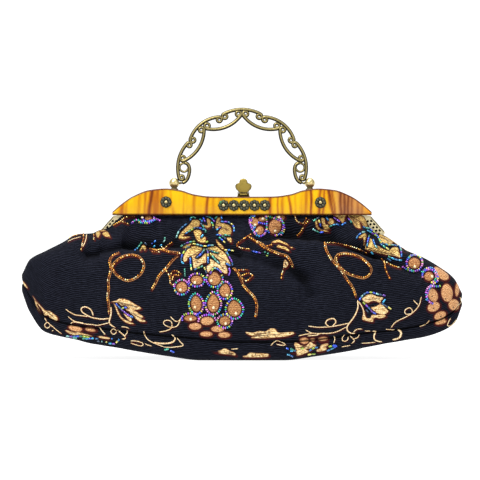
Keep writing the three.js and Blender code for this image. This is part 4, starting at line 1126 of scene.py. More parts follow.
def scattered(shape, places, along, up, sizes):
    """Copies of a shape: at each place its X lies along, its Z points up, and it has that size (x, y, z)."""
    points, faces = shape
    across = unit(np.cross(up, along))
    along = unit(np.cross(across, up))
    local = points[None, :, :] * np.asarray(sizes)[:, None, :]
    world = (
        places[:, None, :]
        + local[..., 0:1] * along[:, None, :]
        + local[..., 1:2] * across[:, None, :]
        + local[..., 2:3] * up[:, None, :]
    )
    count = len(points)
    all_faces = [[index + n * count for index in face] for n in range(len(places)) for face in faces]
    return world.reshape(-1, 3), all_faces


# Materials

class Look:
    """A material with the few node shorthands used below."""

    def __init__(self, name):
        self.material = bpy.data.materials.new(name)
        self.material.use_nodes = True
        self.tree = self.material.node_tree
        self.surface = self.tree.nodes["Principled BSDF"]

    def feed(self, socket, value):
        if isinstance(value, bpy.types.NodeSocket):
            self.tree.links.new(value, socket)
        else:
            socket.default_value = value

    def set(self, **values):
        for name, value in values.items():
            socket = name.replace("_", " ").title().replace("Ior", "IOR")
            self.feed(self.surface.inputs[socket], value)

    def node(self, kind, **settings):
        node = self.tree.nodes.new(kind)
        for name, value in settings.items():
            setattr(node, name, value)
        return node

    def math(self, operation, *values):
        node = self.node("ShaderNodeMath", operation=operation)
        for socket, value in zip(node.inputs, values):
            self.feed(socket, value)
        return node.outputs[0]

    def times(self, value, by):
        return self.math("MULTIPLY", value, by)

    def weighed(self, value, by, plus):
        return self.math("MULTIPLY_ADD", value, by, plus)

    def wave(self, value, pitch):
        return self.math("SINE", self.times(value, 2 * math.pi / pitch))

    def attribute(self, name, output="Fac"):
        return self.node("ShaderNodeAttribute", attribute_name=name).outputs[output]

    def within(self, layer, outer=0.2, inner=-0.2):
        """1 inside a motif, from the distance painted on the mesh."""
        return self.span(self.attribute(layer), outer, inner)

    def position(self):
        return self.node("ShaderNodeTexCoord").outputs["Object"]

    def stretched(self, vector, scale):
        node = self.node("ShaderNodeMapping")
        self.feed(node.inputs["Vector"], vector)
        node.inputs["Scale"].default_value = scale
        return node.outputs[0]

    def split(self, vector):
        node = self.node("ShaderNodeSeparateXYZ")
        self.feed(node.inputs[0], vector)
        return node.outputs

    def noise(self, vector, scale, detail, distortion=0.0):
        node = self.node("ShaderNodeTexNoise")
        self.feed(node.inputs["Vector"], vector)
        node.inputs["Scale"].default_value = scale
        node.inputs["Detail"].default_value = detail
        node.inputs["Distortion"].default_value = distortion
        return node.outputs["Fac"]

    def ramp(self, value, stops):
        node = self.node("ShaderNodeValToRGB")
        self.feed(node.inputs[0], value)
        elements = node.color_ramp.elements
        while len(elements) < len(stops):
            elements.new(0.5)
        for element, (place, colour) in zip(elements, stops):
            element.position = place
            element.color = (*colour, 1)
        return node.outputs[0]

    def span(self, value, low, high, to_low=0.0, to_high=1.0):
        node = self.node("ShaderNodeMapRange", interpolation_type="SMOOTHSTEP")
        for socket, number in zip(node.inputs, (value, low, high, to_low, to_high)):
            self.feed(socket, number)
        return node.outputs[0]

    def mix(self, share, first, second):
        node = self.node("ShaderNodeMix", data_type="RGBA")
        self.feed(node.inputs[0], share)
        for socket, colour in zip((node.inputs[6], node.inputs[7]), (first, second)):
            self.feed(socket, colour if isinstance(colour, bpy.types.NodeSocket) else (*colour, 1))
        return node.outputs[2]

    def bump(self, height, strength, distance):
        node = self.node("ShaderNodeBump")
        node.inputs["Strength"].default_value = strength
        node.inputs["Distance"].default_value = distance
        self.feed(node.inputs["Height"], height)
        self.feed(self.surface.inputs["Normal"], node.outputs[0])


def yarns(look):
    """The ribs and stitches of the weave, and the unevenness of its yarn."""
    weave = look.node("ShaderNodeUVMap", uv_map="weave").outputs[0]
    across, down, _ = look.split(weave)
    swayed = look.weighed(look.noise(weave, 0.09, 2), 3.0, down)
    rib = look.weighed(look.wave(swayed, RIB_PITCH), 0.5, 0.5)
    stitch = look.weighed(look.wave(across, STITCH_PITCH), 0.5, 0.5)
    slants = [look.weighed(across, slant, down) for slant in (HATCH_SLANT, -HATCH_SLANT)]
    return SimpleNamespace(
        rib=rib,
        stitch=stitch,
        hatch=look.math("MINIMUM", *(look.wave(slant, HATCH_PITCH) for slant in slants)),
        thread=look.weighed(stitch, 0.16, look.times(rib, 0.14)),
        slub=look.noise(look.stretched(weave, (0.25, 1.0, 1.0)), 0.9, 4),
        fine=look.noise(weave, 1.5, 3),
        speck=look.noise(weave, 0.95, 3),
        crinkle=look.noise(weave, 0.55, 4, 0.8),
    )


def ground_tone(look, yarn):
    """Near black ribs, with painted shade in the deep fold hollows, and red shadows beside the motifs."""
    tone = look.ramp(look.weighed(yarn.rib, 0.45, look.times(yarn.slub, 0.6)), [
        (0.28, (0.001, 0.0011, 0.0022)), (0.55, (0.0045, 0.005, 0.0098)), (0.85, (0.021, 0.0235, 0.038)),
    ])
    # Painted shade: the cloth darkens in the fold hollows
    tone = look.mix(look.span(look.attribute("fold"), *FOLD_SHADE_DEPTHS, 0, 0.8), tone, (0.0008, 0.0008, 0.0012))
    patchy = look.times(look.within("halo", 0.6, -0.5), look.span(yarn.fine, 0.3, 0.62, 0.15, 1))
    return look.mix(patchy, tone, (0.07, 0.007, 0.006))


def leaf_tone(look, yarn):
    """Pale gold, deeper and hatched higher up, with painted shade under the frame, and brown along the
    outline.
    """
    uneven = look.weighed(yarn.fine, 0.2, look.times(yarn.crinkle, 0.67))
    grain = look.math("ADD", yarn.thread, uneven)
    pale = look.ramp(grain, [
        (0.43, (0.12, 0.038, 0.009)), (0.50, (0.45, 0.21, 0.048)), (0.57, (0.86, 0.52, 0.19)),
        (0.66, (1.0, 0.85, 0.48)),
    ])
    golden = look.ramp(look.weighed(yarn.hatch, 0.1, look.math("ADD", grain, 0.035)), [
        (0.43, (0.05, 0.018, 0.004)), (0.51, (0.30, 0.145, 0.03)), (0.58, (0.60, 0.37, 0.09)),
        (0.68, (0.92, 0.68, 0.23)),
    ])
    height = look.split(look.position())[2]
    tone = look.mix(look.span(height, *GOLDEN_HEIGHT), pale, golden)
    # Painted shade: the leaves darken just under the frame
    tone = look.mix(look.span(height, *FRAME_SHADE_HEIGHT, 0, 0.45), tone, (0.2, 0.1, 0.025))
    return look.mix(look.span(look.attribute("leaf"), -0.6, 0.05, 0.0, 0.8), tone, (0.24, 0.07, 0.022))


def grape_tone(look, yarn):
    """Copper brown, darker for the grapes with pearls, and darkest along the outline."""
    grain = look.weighed(yarn.thread, 0.55, look.weighed(yarn.speck, 0.6, look.times(yarn.fine, 0.4)))
    plain = look.ramp(grain, [
        (0.42, (0.22, 0.075, 0.028)), (0.51, (0.44, 0.19, 0.075)), (0.59, (0.64, 0.31, 0.125)),
        (0.70, (0.90, 0.56, 0.28)),
    ])
    ringed = look.ramp(grain, [
        (0.42, (0.10, 0.028, 0.009)), (0.51, (0.28, 0.108, 0.036)), (0.60, (0.48, 0.205, 0.075)),
        (0.70, (0.72, 0.40, 0.16)),
    ])
    tone = look.mix(look.within("ringed", 0.1, -0.1), plain, ringed)
    return look.mix(look.span(look.attribute("grape"), -0.9, 0.05, 0.0, 0.8), tone, (0.13, 0.034, 0.018))


def tapestry_look():
    """Dark corded weave, with the leaves, grapes and vines woven into it."""
    look = Look("tapestry")
    yarn = yarns(look)
    vine_tone = look.ramp(yarn.fine, [
        (0.35, (0.02, 0.005, 0.002)), (0.55, (0.13, 0.04, 0.01)), (0.75, (0.34, 0.14, 0.04)),
    ])
    leaf, grape = look.within("leaf"), look.within("grape")
    woven = look.math("MAXIMUM", leaf, grape)
    vein = look.times(look.within("vein", 0.28, -0.1), leaf)
    shade = look.times(look.within("shade", 0.25, -0.25), woven)
    colour = look.mix(look.within("vine"), ground_tone(look, yarn), vine_tone)
    colour = look.mix(leaf, colour, leaf_tone(look, yarn))
    colour = look.mix(look.times(vein, 0.85), colour, (0.07, 0.018, 0.009))
    colour = look.mix(grape, colour, grape_tone(look, yarn))
    colour = look.mix(look.times(shade, 0.88), colour, (0.008, 0.004, 0.004))
    colour = look.mix(look.times(look.within("seam", 1.3, 0.3), 0.85), colour, (0.001, 0.001, 0.0015))
    look.set(
        base_color=colour,
        roughness=look.span(woven, 0, 1, 0.85, 0.45),
        specular_ior_level=look.span(woven, 0, 1, 0.06, 0.16),
        metallic=look.span(woven, 0, 1, 0.0, 0.12),
    )
    relief = look.weighed(yarn.rib, 0.7, look.weighed(yarn.stitch, 0.2, look.times(yarn.fine, 0.6)))
    look.bump(look.weighed(look.times(yarn.crinkle, woven), 1.6, relief), 0.6, 0.0006)
    return look.material


def bead_look(name, metallic, roughness, coat):
    look = Look(name)
    look.set(
        base_color=look.attribute("tint", "Color"),
        metallic=metallic, roughness=roughness, coat_weight=coat, coat_roughness=0.06,
    )
    return look.material


def thread_look():
    look = Look("gold_thread")
    twist = look.noise(look.position(), 1400, 2)
    pale = look.ramp(twist, [
        (0.34, (0.42, 0.17, 0.05)), (0.46, (0.84, 0.57, 0.26)), (0.62, (1.0, 0.86, 0.56)),
    ])
    orange = look.ramp(twist, [
        (0.36, (0.10, 0.03, 0.008)), (0.48, (0.40, 0.15, 0.03)), (0.64, (0.74, 0.38, 0.11)),
    ])
    look.set(base_color=look.mix(look.attribute("orange"), pale, orange), roughness=0.5)
    look.bump(twist, 0.6, 0.0004)
    return look.material


def pearl_look():
    look = Look("pearl")
    cloud = look.noise(look.position(), 500, 2)
    look.set(
        base_color=look.ramp(cloud, [(0.3, (0.74, 0.55, 0.27)), (0.7, (0.95, 0.85, 0.60))]),
        roughness=0.22, coat_weight=0.6, coat_roughness=0.1,
    )
    return look.material


def amber_look():
    """Polished marbled resin: upright wavy streaks, yellow at the left and mauve brown at the right."""
    look = Look("amber_resin")
    upright = look.stretched(look.position(), (1.0, 0.4, 0.14))
    wisps = look.noise(upright, 330, 3, 0.25)
    clouds = look.noise(upright, 70, 2, 0.4)
    haze = look.weighed(wisps, 0.55, look.weighed(clouds, 0.55, -0.5))
    streak = look.math("ADD", look.attribute("streak"), haze)
    yellow = look.ramp(streak, [
        (0.0, (0.82, 0.475, 0.006)), (0.22, (0.69, 0.33, 0.005)), (0.5, (0.46, 0.14, 0.006)),
        (0.85, (0.17, 0.036, 0.005)),
    ])
    rosy = look.ramp(streak, [
        (0.0, (0.60, 0.28, 0.065)), (0.25, (0.42, 0.165, 0.045)), (0.55, (0.22, 0.066, 0.02)),
        (0.9, (0.10, 0.022, 0.009)),
    ])
    colour = look.mix(look.attribute("rosy"), yellow, rosy)
    colour = look.mix(look.attribute("red_tip"), colour, (0.62, 0.17, 0.012))
    # Painted shade along the frame's top and bottom edges, from the edge layer
    colour = look.mix(look.attribute("edge"), colour, (0.08, 0.014, 0.003))
    look.set(base_color=colour, roughness=0.2, coat_weight=0.1, coat_roughness=0.05, specular_ior_level=0.18)
    return look.material


def metal_look(name, bright, dark, roughness, grime, metallic=0.95):
    """Aged metal with a random patina, darkened by its recess layer: shade, and patina in hollows, painted on
    the mesh.
    """
    look = Look(name)
    place = look.position()
    patina = look.noise(place, 260, 4, 0.6)
    speck = look.noise(place, 1500, 2)
    # The recess layer darkens the metal: painted shade, and patina in hollows
    shade = look.weighed(look.attribute("recess"), 0.85, look.span(patina, 0.5, 0.75, 0.0, grime))
    shade = look.math("MINIMUM", shade, 1.0)
    look.set(
        base_color=look.mix(look.attribute("verdigris"), look.mix(shade, bright, dark), (0.07, 0.22, 0.08)),
        metallic=look.span(shade, 0, 1, metallic, 0.15),
        roughness=look.span(speck, 0.3, 0.7, roughness - 0.06, roughness + 0.12),
        specular_ior_level=look.span(shade, 0, 1, 0.4, 0.05),
    )
    look.bump(look.weighed(speck, 0.4, patina), 0.12, 0.0003)
    return look.material


def floor_look():
    look = Look("studio_floor")
    grain = look.noise(look.position(), 40, 2)
    look.set(
        base_color=look.ramp(grain, [(0.3, (0.3, 0.3, 0.3)), (0.7, (0.33, 0.33, 0.33))]),
        roughness=0.9, emission_color=(1, 1, 1, 1), emission_strength=0.9,
    )
    return look.material


TAPESTRY = tapestry_look()
SEED_GLASS = bead_look("seed_glass", 0.25, 0.16, 0.8)
BUGLE_GLASS = bead_look("bugle_glass", 0.3, 0.14, 0.8)
GOLD_BEADS = bead_look("gold_beads", 0.75, 0.24, 0.3)
GOLD_THREAD = thread_look()
PEARL = pearl_look()
AMBER = amber_look()
BRASS = metal_look("antique_brass", (0.41, 0.335, 0.135), (0.010, 0.0075, 0.003), 0.36, 0.15)
POLISHED = metal_look("polished_brass", (0.80, 0.66, 0.31), (0.05, 0.038, 0.014), 0.36, 0.1)
OLIVE_BRASS = metal_look("olive_brass", (0.42, 0.31, 0.07), (0.03, 0.022, 0.007), 0.46, 0.25)
PALE_BRASS = metal_look("pale_brass", (0.70, 0.61, 0.37), (0.004, 0.0035, 0.002), 0.4, 0.12, 0.4)
BRONZE = metal_look("dark_bronze", (0.13, 0.128, 0.085), (0.006, 0.006, 0.0045), 0.44, 0.4)


# The pattern on the cloth

def on_bag(pixels, side):
    """Pixels of the photograph as (x, z) of the upright plane through the bag, mirrored for the back."""
    p = np.asarray(pixels, dtype=float)
    x = (p[..., 0] - PHOTO_MIDDLE) * PHOTO_PIXEL
    z = (PHOTO_GROUND - p[..., 1]) * PHOTO_PIXEL
    return np.stack([-side * x, z], axis=-1)


def drawn(lines, side, step=1):
    """Lines of the pattern as smooth curves, with points about so many pixels apart."""
    return [on_bag(rounded(pixels, step), side) for pixels in lines]


def eye_point(side):
    """Where the pattern is looked at from: the camera for the front, its mirror place for the back."""
    return np.array([-side * EYE_X, side * EYE_DISTANCE, EYE_Z])


def as_seen(points, side):
    """Where points of the cloth appear on the upright plane through the bag, as a list of (x, z)."""
    eye = eye_point(side)
    nearer = eye[1] / (eye[1] - points[..., 1])
    x = eye[0] + (points[..., 0] - eye[0]) * nearer
    z = eye[2] + (points[..., 2] - eye[2]) * nearer
    return np.stack([x, z], axis=-1).reshape(-1, 2)


def near(spots, shape, reach):
    low, high = shape.min(axis=0) - reach, shape.max(axis=0) + reach
    return np.where(np.all((spots >= low) & (spots <= high), axis=1))[0]


def from_line(spots, line):
    """Distance of each spot from a polyline."""
    best = np.full(len(spots), FAR)
    for a, b in zip(line[:-1], line[1:]):
        way = b - a
        t = np.clip(((spots - a) @ way) / max(way @ way, 1e-9), 0, 1)
        best = np.minimum(best, np.linalg.norm(spots - a - t[:, None] * way, axis=1))
    return best


def from_outline(spots, outline):
    """Distance from a closed outline, below 0 inside it."""
    loop = np.vstack([outline, outline[:1]])
    inside = np.zeros(len(spots), dtype=bool)
    x, z = spots[:, 0], spots[:, 1]
    for (ax, az), (bx, bz) in zip(loop[:-1], loop[1:]):
        crosses = (az > z) != (bz > z)
        inside ^= crosses & (x < (bx - ax) * (z - az) / (bz - az if bz != az else 1e-9) + ax)
    return np.where(inside, -1, 1) * from_line(spots, loop)


def grape_rows():
    return [dict(zip(GRAPES, row)) for row in zip(*GRAPES.values())]


def grape_outline(grape, grow, degrees):
    """Points of a grape's outline in pixels, grown by so many pixels."""
    angle = np.radians(degrees)
    up = np.sin(angle)
    narrow = 1 - GRAPE_NARROW * grape["point"] * np.clip(up, 0, 1) ** GRAPE_NARROW_POWER
    across = (grape["wide"] + grow) * np.cos(angle) * narrow
    height = (grape["tall"] + grow) * up
    tilt = math.radians(grape["tilt"])
    x = grape["x"] + across * math.cos(tilt) - height * math.sin(tilt)
    y = grape["y"] - across * math.sin(tilt) - height * math.cos(tilt)
    return np.stack([x, y], axis=-1)


def leaf_veins(name, side):
    """The main veins of a leaf and the side veins that branch from them, with half widths."""
    if name not in VEINS:
        return
    root, *tips = on_bag(VEINS[name], side)
    for tip in tips:
        way = tip - root
        yield np.array([root, root + VEIN_REACH * way]), VEIN_HALF_WIDTH
        for share in SIDE_VEINS:
            start = root + share * way
            for turn in (SIDE_VEIN_TURN, -SIDE_VEIN_TURN):
                turned = np.array([
                    way[0] * math.cos(turn) - way[1] * math.sin(turn),
                    way[0] * math.sin(turn) + way[1] * math.cos(turn),
                ])
                reach = SIDE_VEIN_REACH * (SIDE_VEIN_TAPER - share)
                yield np.array([start, start + reach * turned]), SIDE_VEIN_HALF_WIDTH


def motif_layers(spots, side):
    """For each spot (x, z), how far it lies from the nearest leaf, vein, grape, vine and shadow."""
    names = ("leaf", "vein", "grape", "ringed", "vine", "halo", "shade")
    layers = {name: np.full(len(spots), FAR) for name in names}

    def lower(name, shape, measure, grow=0.0, shift=0.0):
        moved = spots - shift
        chosen = near(moved, shape, FAR - grow)
        found = measure(moved[chosen], shape) - grow
        layers[name][chosen] = np.minimum(layers[name][chosen], found)

    for name, pixels in LEAVES.items():
        outline = on_bag(rounded(pixels + pixels[:1], 1.1)[:-1], side)
        lower("leaf", outline, from_outline)
        lower("halo", outline, from_outline, LEAF_HALO, HALO_SHIFT)
        for vein, half_width in leaf_veins(name, side):
            lower("vein", vein, from_line, half_width)
    for grape in grape_rows():
        outline = on_bag(grape_outline(grape, 0, np.arange(0, 360, 12)), side)
        lower("grape", outline, from_outline)
        lower("halo", outline, from_outline, GRAPE_HALO, GRAPE_HALO_SHIFT)
        if grape["pearl_x"] != NO_PEARL:
            lower("ringed", outline, from_outline, RINGED_GROW)
    for line in drawn(VINES.values(), side, 2):
        lower("vine", line, from_line, VINE_HALF_WIDTH)
        lower("halo", line, from_line, VINE_HALO, HALO_SHIFT)
    for mark in on_bag(MARKS, side):
        lower("shade", np.array([mark, mark + 0.2]), from_line, MARK_RADIUS)
    for line in drawn(BUGLES, side, 2):
        lower("shade", line, from_line, BUGLE_SHADE)
    for line in drawn(TENDRILS.values(), side, 2):
        lower("halo", line, from_line, THREAD_HALF_WIDTH, HALO_SHIFT)
    return layers


# Cloth body

def half_depth(x):
    along = np.minimum(1, np.abs(x) / BAG_HALF_LENGTH)
    return np.maximum(END_HALF_WIDTH, BAG_HALF_DEPTH * (1 - along**PLAN_POWER) ** (1 / PLAN_POWER))


def stations():
    even = np.linspace(-1, 1, ALONG_STEPS + 1)
    return BAG_HALF_LENGTH * lerp(even, np.sin(even * math.pi / 2), ALONG_CROWDING)[:, None]


def fold_height(folds, x, z):
    """Height of the ridges less depth of the hollows; where two of a kind meet they do not add up."""
    ridge = np.zeros(np.broadcast(x, z).shape)
    hollow = np.zeros(ridge.shape)
    for x0, z0, x1, z1, lift, wide in zip(*folds.values()):
        dx, dz = x1 - x0, z1 - z0
        t = np.clip(((x - x0) * dx + (z - z0) * dz) / (dx * dx + dz * dz), 0, 1)
        off = np.hypot(x - x0 - t * dx, z - z0 - t * dz)
        kind = ridge if lift > 0 else hollow
        kind += (lift * np.exp(-((off / wide) ** 2))) ** 4
    return ridge**0.25 - hollow**0.25


def pleats(x, drop):
    """The broad and fine gathers under the frame, which die out down the cloth and towards the ends."""
    below = np.maximum(drop, 0)
    broad = PLEAT_RAISE * np.cos(2 * math.pi * x / PLEAT_PITCH) * np.exp(-below / PLEAT_REACH)
    turn = 2 * math.pi * x / FINE_PLEAT_PITCH + 2 * np.sin(x / FINE_PLEAT_SWAY)
    fine = FINE_PLEAT_RAISE * np.sin(turn) * np.exp(-below / FINE_PLEAT_REACH)
    return (broad + fine) * (1 - rise(np.abs(x), *PLEATED_TO))


def ripple(x, z):
    """The slight unevenness of soft cloth."""
    return (
        0.35 * np.sin(x / 9.7 + 1.3 * np.sin(z / 15.0))
        + 0.3 * np.sin(z / 7.1 + x / 31.0)
        + 0.22 * np.sin(x / 4.9 - z / 6.3)
    )


def seam_sink(to_seam):
    return SEAM_SINK * np.exp(-((to_seam / SEAM_SINK_REACH) ** 2))


def grid_normals(grid):
    return unit(np.cross(np.gradient(grid, axis=1), np.gradient(grid, axis=0)))


def way_down(grid):
    """Millimetres along the cloth from the first row."""
    steps = np.linalg.norm(np.diff(grid, axis=1), axis=2)
    return np.concatenate([np.zeros((len(grid), 1)), np.cumsum(steps, axis=1)], axis=1)


def hanging_edge(x):
    return np.minimum(through(BODY, "x", "edge", x), half_depth(x))


def side_grid(side, steps):
    """A side panel before folding, from its hanging edge down to the base seam."""
    x = stations()
    fall = np.linspace(0, 1, steps + 1)[None, :]
    hang = np.linspace(0, 1, LEAD_STEPS, endpoint=False)[None, :]
    edge = hanging_edge(x)
    top = through(BODY, "x", "top", x)
    start = top - through(BODY, "x", "lead", x)
    seam = through(BODY, "x", "seam", x)
    to_ends = rise(np.abs(x), *FALL_BLEND)
    out, up = (
        lerp(
            through(FALL_UNDER_FRAME, "share", column, fall),
            through(FALL_AT_ENDS, "share", column, fall),
            to_ends,
        )
        for column in ("out", "up")
    )
    y = np.hstack([edge + 0 * hang, lerp(edge, half_depth(x), out)])
    z = np.hstack([lerp(top, start, hang), lerp(seam, start, up)])
    return np.stack([x + 0 * y, side * y, z], axis=-1), start


def kept_in_view(layers, shown):
    """Motifs end where the cloth turns edge on to the eye that they were read from."""
    turned = FAR * rise(shown.ravel(), *EDGE_ON)
    return {name: np.minimum(FAR, values + turned) for name, values in layers.items()}


def side_panel(side, steps, folds):
    """The folded grid of a side panel with its normals, motif layers and weave coordinates."""
    plain, start = side_grid(side, steps)
    x, z = plain[..., 0], plain[..., 2]
    outward = -side * grid_normals(plain)
    from_edge = way_down(plain)
    to_seam = from_edge[:, -1:] - from_edge
    drop = start - z
    fade = smoothstep(drop / FOLD_FADE_LEAD) * smoothstep((BAG_HALF_LENGTH - np.abs(x)) / FOLD_FADE_END)
    share_left = np.linspace(1, 0, steps + 1)
    seam_fade = np.concatenate([np.ones(LEAD_STEPS), smoothstep(share_left / FOLD_FADE_SEAM)])[None, :]
    lift = fold_height(folds, x, z) + pleats(x, drop) + ripple(x, z)
    if side < 0:
        lift = lift + fold_height(FRONT_CREASES, x, z)
    lift = lift * fade * seam_fade - seam_sink(to_seam)
    folded = plain + outward * lift[..., None]
    outward = -side * grid_normals(folded)
    layers = kept_in_view(motif_layers(as_seen(folded, side), side), np.abs(outward[..., 1]))
    puff = LEAF_PUFF * rise(layers["leaf"], *LEAF_PUFF_EDGE)
    puff += GRAPE_PUFF * rise(layers["grape"], *GRAPE_PUFF_EDGE)
    folded = folded + outward * puff.reshape(x.shape)[..., None]
    folded[..., 1] = side * np.maximum(END_HALF_WIDTH, side * folded[..., 1])
    layers["seam"] = np.minimum(to_seam, FAR).ravel()
    # The fold height, which the tapestry also reads to paint shade into the hollows
    layers["fold"] = lift.ravel()
    return folded, outward, layers, (x, to_seam)


def base_grid():
    """The base between its two seams, across = -1 at the front and 1 at the back."""
    x = stations()
    across = np.linspace(-1, 1, BASE_STEPS + 1)[None, :]
    seam = through(BODY, "x", "seam", x)
    keel = through(BODY, "x", "keel", x)
    seam_y = lerp(hanging_edge(x), half_depth(x), FALL_AT_ENDS["out"][-1])
    rim = np.maximum(0, (np.abs(across) - BASE_FLAT_SHARE) / (1 - BASE_FLAT_SHARE))
    roll = rim * math.pi / 2
    flat_y = BASE_FLAT_WIDE * seam_y
    level = np.minimum(1, np.abs(across) / BASE_FLAT_SHARE)
    y = flat_y * level + (seam_y - flat_y) * np.sin(roll)
    z = keel + (seam - keel) * (1 - np.cos(roll))
    return np.stack([x + 0 * y, np.sign(across) * y, z], axis=-1)


def base_panel():
    """The base's grid with its normals, motif layers and weave coordinates."""
    plain = base_grid()
    x, y, z = (plain[..., k] for k in range(3))
    outward = grid_normals(plain)
    from_front = way_down(plain)
    to_seam = np.minimum(from_front, from_front[:, -1:] - from_front)
    shown = np.abs(outward[..., 1])
    swell = BASE_RIPPLE * ripple(x, z)
    swell *= smoothstep(shown / BASE_RIPPLE_SHOWN) * smoothstep(to_seam / BASE_RIPPLE_SEAM)
    folded = plain + outward * (swell - seam_sink(to_seam))[..., None]
    front, back = (motif_layers(as_seen(folded, side), side) for side in (-1, 1))
    is_front = (y < 0).ravel()
    hidden = (shown < BASE_PATTERN_SHOWN).ravel()
    layers = {name: np.where(hidden, FAR, np.where(is_front, front[name], back[name])) for name in front}
    layers["seam"] = np.minimum(to_seam, FAR).ravel()
    return folded, outward, layers, (x, -to_seam)


def cloth_piece(name, panel):
    """A lined wall: the outside drawn finely, the inside plainly, and the rim between them."""
    grid, outward, layers, weave = panel
    rows, columns = grid.shape[:2]
    inner = (grid - CLOTH * outward)[::INNER_EVERY, ::INNER_EVERY]
    own_side = np.sign(grid[rows // 2, columns // 2, 1])
    if own_side != 0:
        inner[..., 1] = own_side * np.maximum(LINING_GAP, own_side * inner[..., 1])
    inner_rows, inner_columns = inner.shape[:2]
    start = rows * columns
    points = np.vstack([grid.reshape(-1, 3), inner.reshape(-1, 3)])
    outside = grid_faces(rows, columns)
    inside = [[start + index for index in face[::-1]] for face in grid_faces(inner_rows, inner_columns)]
    faces = outside + inside
    fine = np.arange(start).reshape(rows, columns)
    plain = start + np.arange(inner_rows * inner_columns).reshape(inner_rows, inner_columns)
    rims = [
        (fine[0], plain[0]), (fine[-1], plain[-1]),
        (fine[:, 0], plain[:, 0]), (fine[:, -1], plain[:, -1]),
    ]
    for edge, lining in rims:
        for k in range(len(lining) - 1):
            run = edge[INNER_EVERY * k:INNER_EVERY * (k + 1) + 1]
            faces.append([*run, lining[k + 1], lining[k]])
    piece = make_piece(name, points, faces, TAPESTRY, closed=True)
    for layer, values in layers.items():
        paint(piece, layer, np.concatenate([values, np.full(len(points) - start, FAR)]))
    lay_weave(piece, *(np.concatenate([v.ravel(), v[::INNER_EVERY, ::INNER_EVERY].ravel()]) for v in weave))
    return piece, (grid.reshape(-1, 3), outside)


# Beadwork, laid on the cloth along lines seen from the front or the back

class Surface:
    """The outside of the cloth, for finding the place behind a spot of the pattern."""

    def __init__(self, outsides):
        points, faces = joined(outsides)
        self.tree = BVHTree.FromPolygons(points.tolist(), faces)

    def find(self, spots, side):
        """Places on the cloth and the cloth's normals there, for the spots that meet it."""
        places, normals = [], []
        eye = Vector(eye_point(side))
        for x, z in spots:
            hit, normal, _, _ = self.tree.ray_cast(eye, Vector((x, 0, z)) - eye)
            if hit is None:
                continue
            places.append(hit)
            normals.append(normal if normal.y * side > 0 else -normal)
        return np.array(places).reshape(-1, 3), np.array(normals).reshape(-1, 3)

    def runs(self, lines, side, pitch):
        """For each line that meets the cloth: evenly spaced places on it, directions along it and normals."""
        for line in lines:
            places, normals = self.find(resampled(line, TRACE_STEP), side)
            if len(places) > 2:
                even, up = read_along(places, pitch, places, normals)
                yield even, unit(np.gradient(even, axis=0)), unit(up)


class Beads:
    """Copies of one bead gathered from many lines, made into one mesh."""

    def __init__(self, shape, palette, draw):
        self.shape = shape
        self.palette = np.array(palette)
        self.random = np.random.default_rng(draw)
        self.rows = []

    def add(self, places, along, up, sizes):
        self.rows.append((places, along, up, np.broadcast_to(sizes, (len(places), 3))))

    def piece(self, name, material):
        places, along, up, sizes = (np.vstack(column) for column in zip(*self.rows))
        points, faces = scattered(self.shape, places, along, up, sizes)
        piece = make_piece(name, points, faces, material)
        picks = self.palette[self.random.integers(0, len(self.palette), len(places))]
        picks = picks * self.random.uniform(*TINT_SPREAD, (len(places), 1))
        tint(piece, np.repeat(np.clip(picks, 0, 1), len(self.shape[0]), axis=0))
        return piece


def seed_lines(side):
    for grape in grape_rows():
        if grape["ring1"] > grape["ring0"]:
            degrees = np.linspace(grape["ring0"], grape["ring1"], 60)
            yield on_bag(grape_outline(grape, RING_GAP, degrees), side)
    yield from drawn(SEED_ROWS, side)


def seed_beads(surface, side, name):
    beads = Beads(ball(2), SEED_TINTS, DRAWS["seed"] + side)
    for places, along, up in surface.runs(seed_lines(side), side, SEED_PITCH):
        closed = np.linalg.norm(places[0] - places[-1]) < 0.5 * SEED_PITCH
        keep = slice(0, -1 if closed else None)
        lifted = places + up * SEED_LIFT * SEED_RADIUS
        beads.add(lifted[keep], along[keep], up[keep], (SEED_THICK * SEED_RADIUS, SEED_RADIUS, SEED_RADIUS))
    return beads.piece(name, SEED_GLASS)


def gold_beads(surface, side, name):
    """Oblong beads strung along the vines."""
    beads = Beads(ball(2), GOLD_TINTS, DRAWS["gold"] + side)
    for places, along, up in surface.runs(drawn(VINES.values(), side), side, GOLD_PITCH):
        kept = beads.random.random(len(places)) > GOLD_MISSING
        lean = beads.random.normal(0, GOLD_LEAN, (len(places), 1))
        ways = unit(along + lean * np.cross(up, along))
        lifted = places + up * GOLD_LIFT * GOLD_RADIUS
        beads.add(lifted[kept], ways[kept], up[kept], (GOLD_LONG * GOLD_RADIUS, GOLD_RADIUS, GOLD_RADIUS))
    return beads.piece(name, GOLD_BEADS)


def bugle_beads(surface, side, name):
    beads = Beads(rod(8), BUGLE_TINTS, DRAWS["bugle"] + side)
    for places, _, up in surface.runs(drawn(BUGLES, side), side, BUGLE_LENGTH + BUGLE_GAP):
        middles = (places[1:] + places[:-1]) / 2
        ways = np.diff(places, axis=0)
        sizes = np.full(ways.shape, BUGLE_RADIUS)
        sizes[:, 0] = np.linalg.norm(ways, axis=1) - BUGLE_GAP
        beads.add(middles + up[1:] * BUGLE_LIFT * BUGLE_RADIUS, unit(ways), up[1:], sizes)
    return beads.piece(name, BUGLE_GLASS)


def pearls(surface, side, name):
    beads = Beads(ball(3), [(1, 1, 1)], DRAWS["pearl"] + side)
    spots = [
        (grape["x"] + grape["pearl_x"], grape["y"] + grape["pearl_y"])
        for grape in grape_rows() if grape["pearl_x"] != NO_PEARL
    ]
    places, up = surface.find(on_bag(spots, side), side)
    sideways = np.tile([1.0, 0.0, 0.0], (len(places), 1))
    beads.add(places + up * PEARL_LIFT * PEARL_RADIUS, sideways, up, (PEARL_RADIUS,) * 3)
    return beads.piece(name, PEARL)


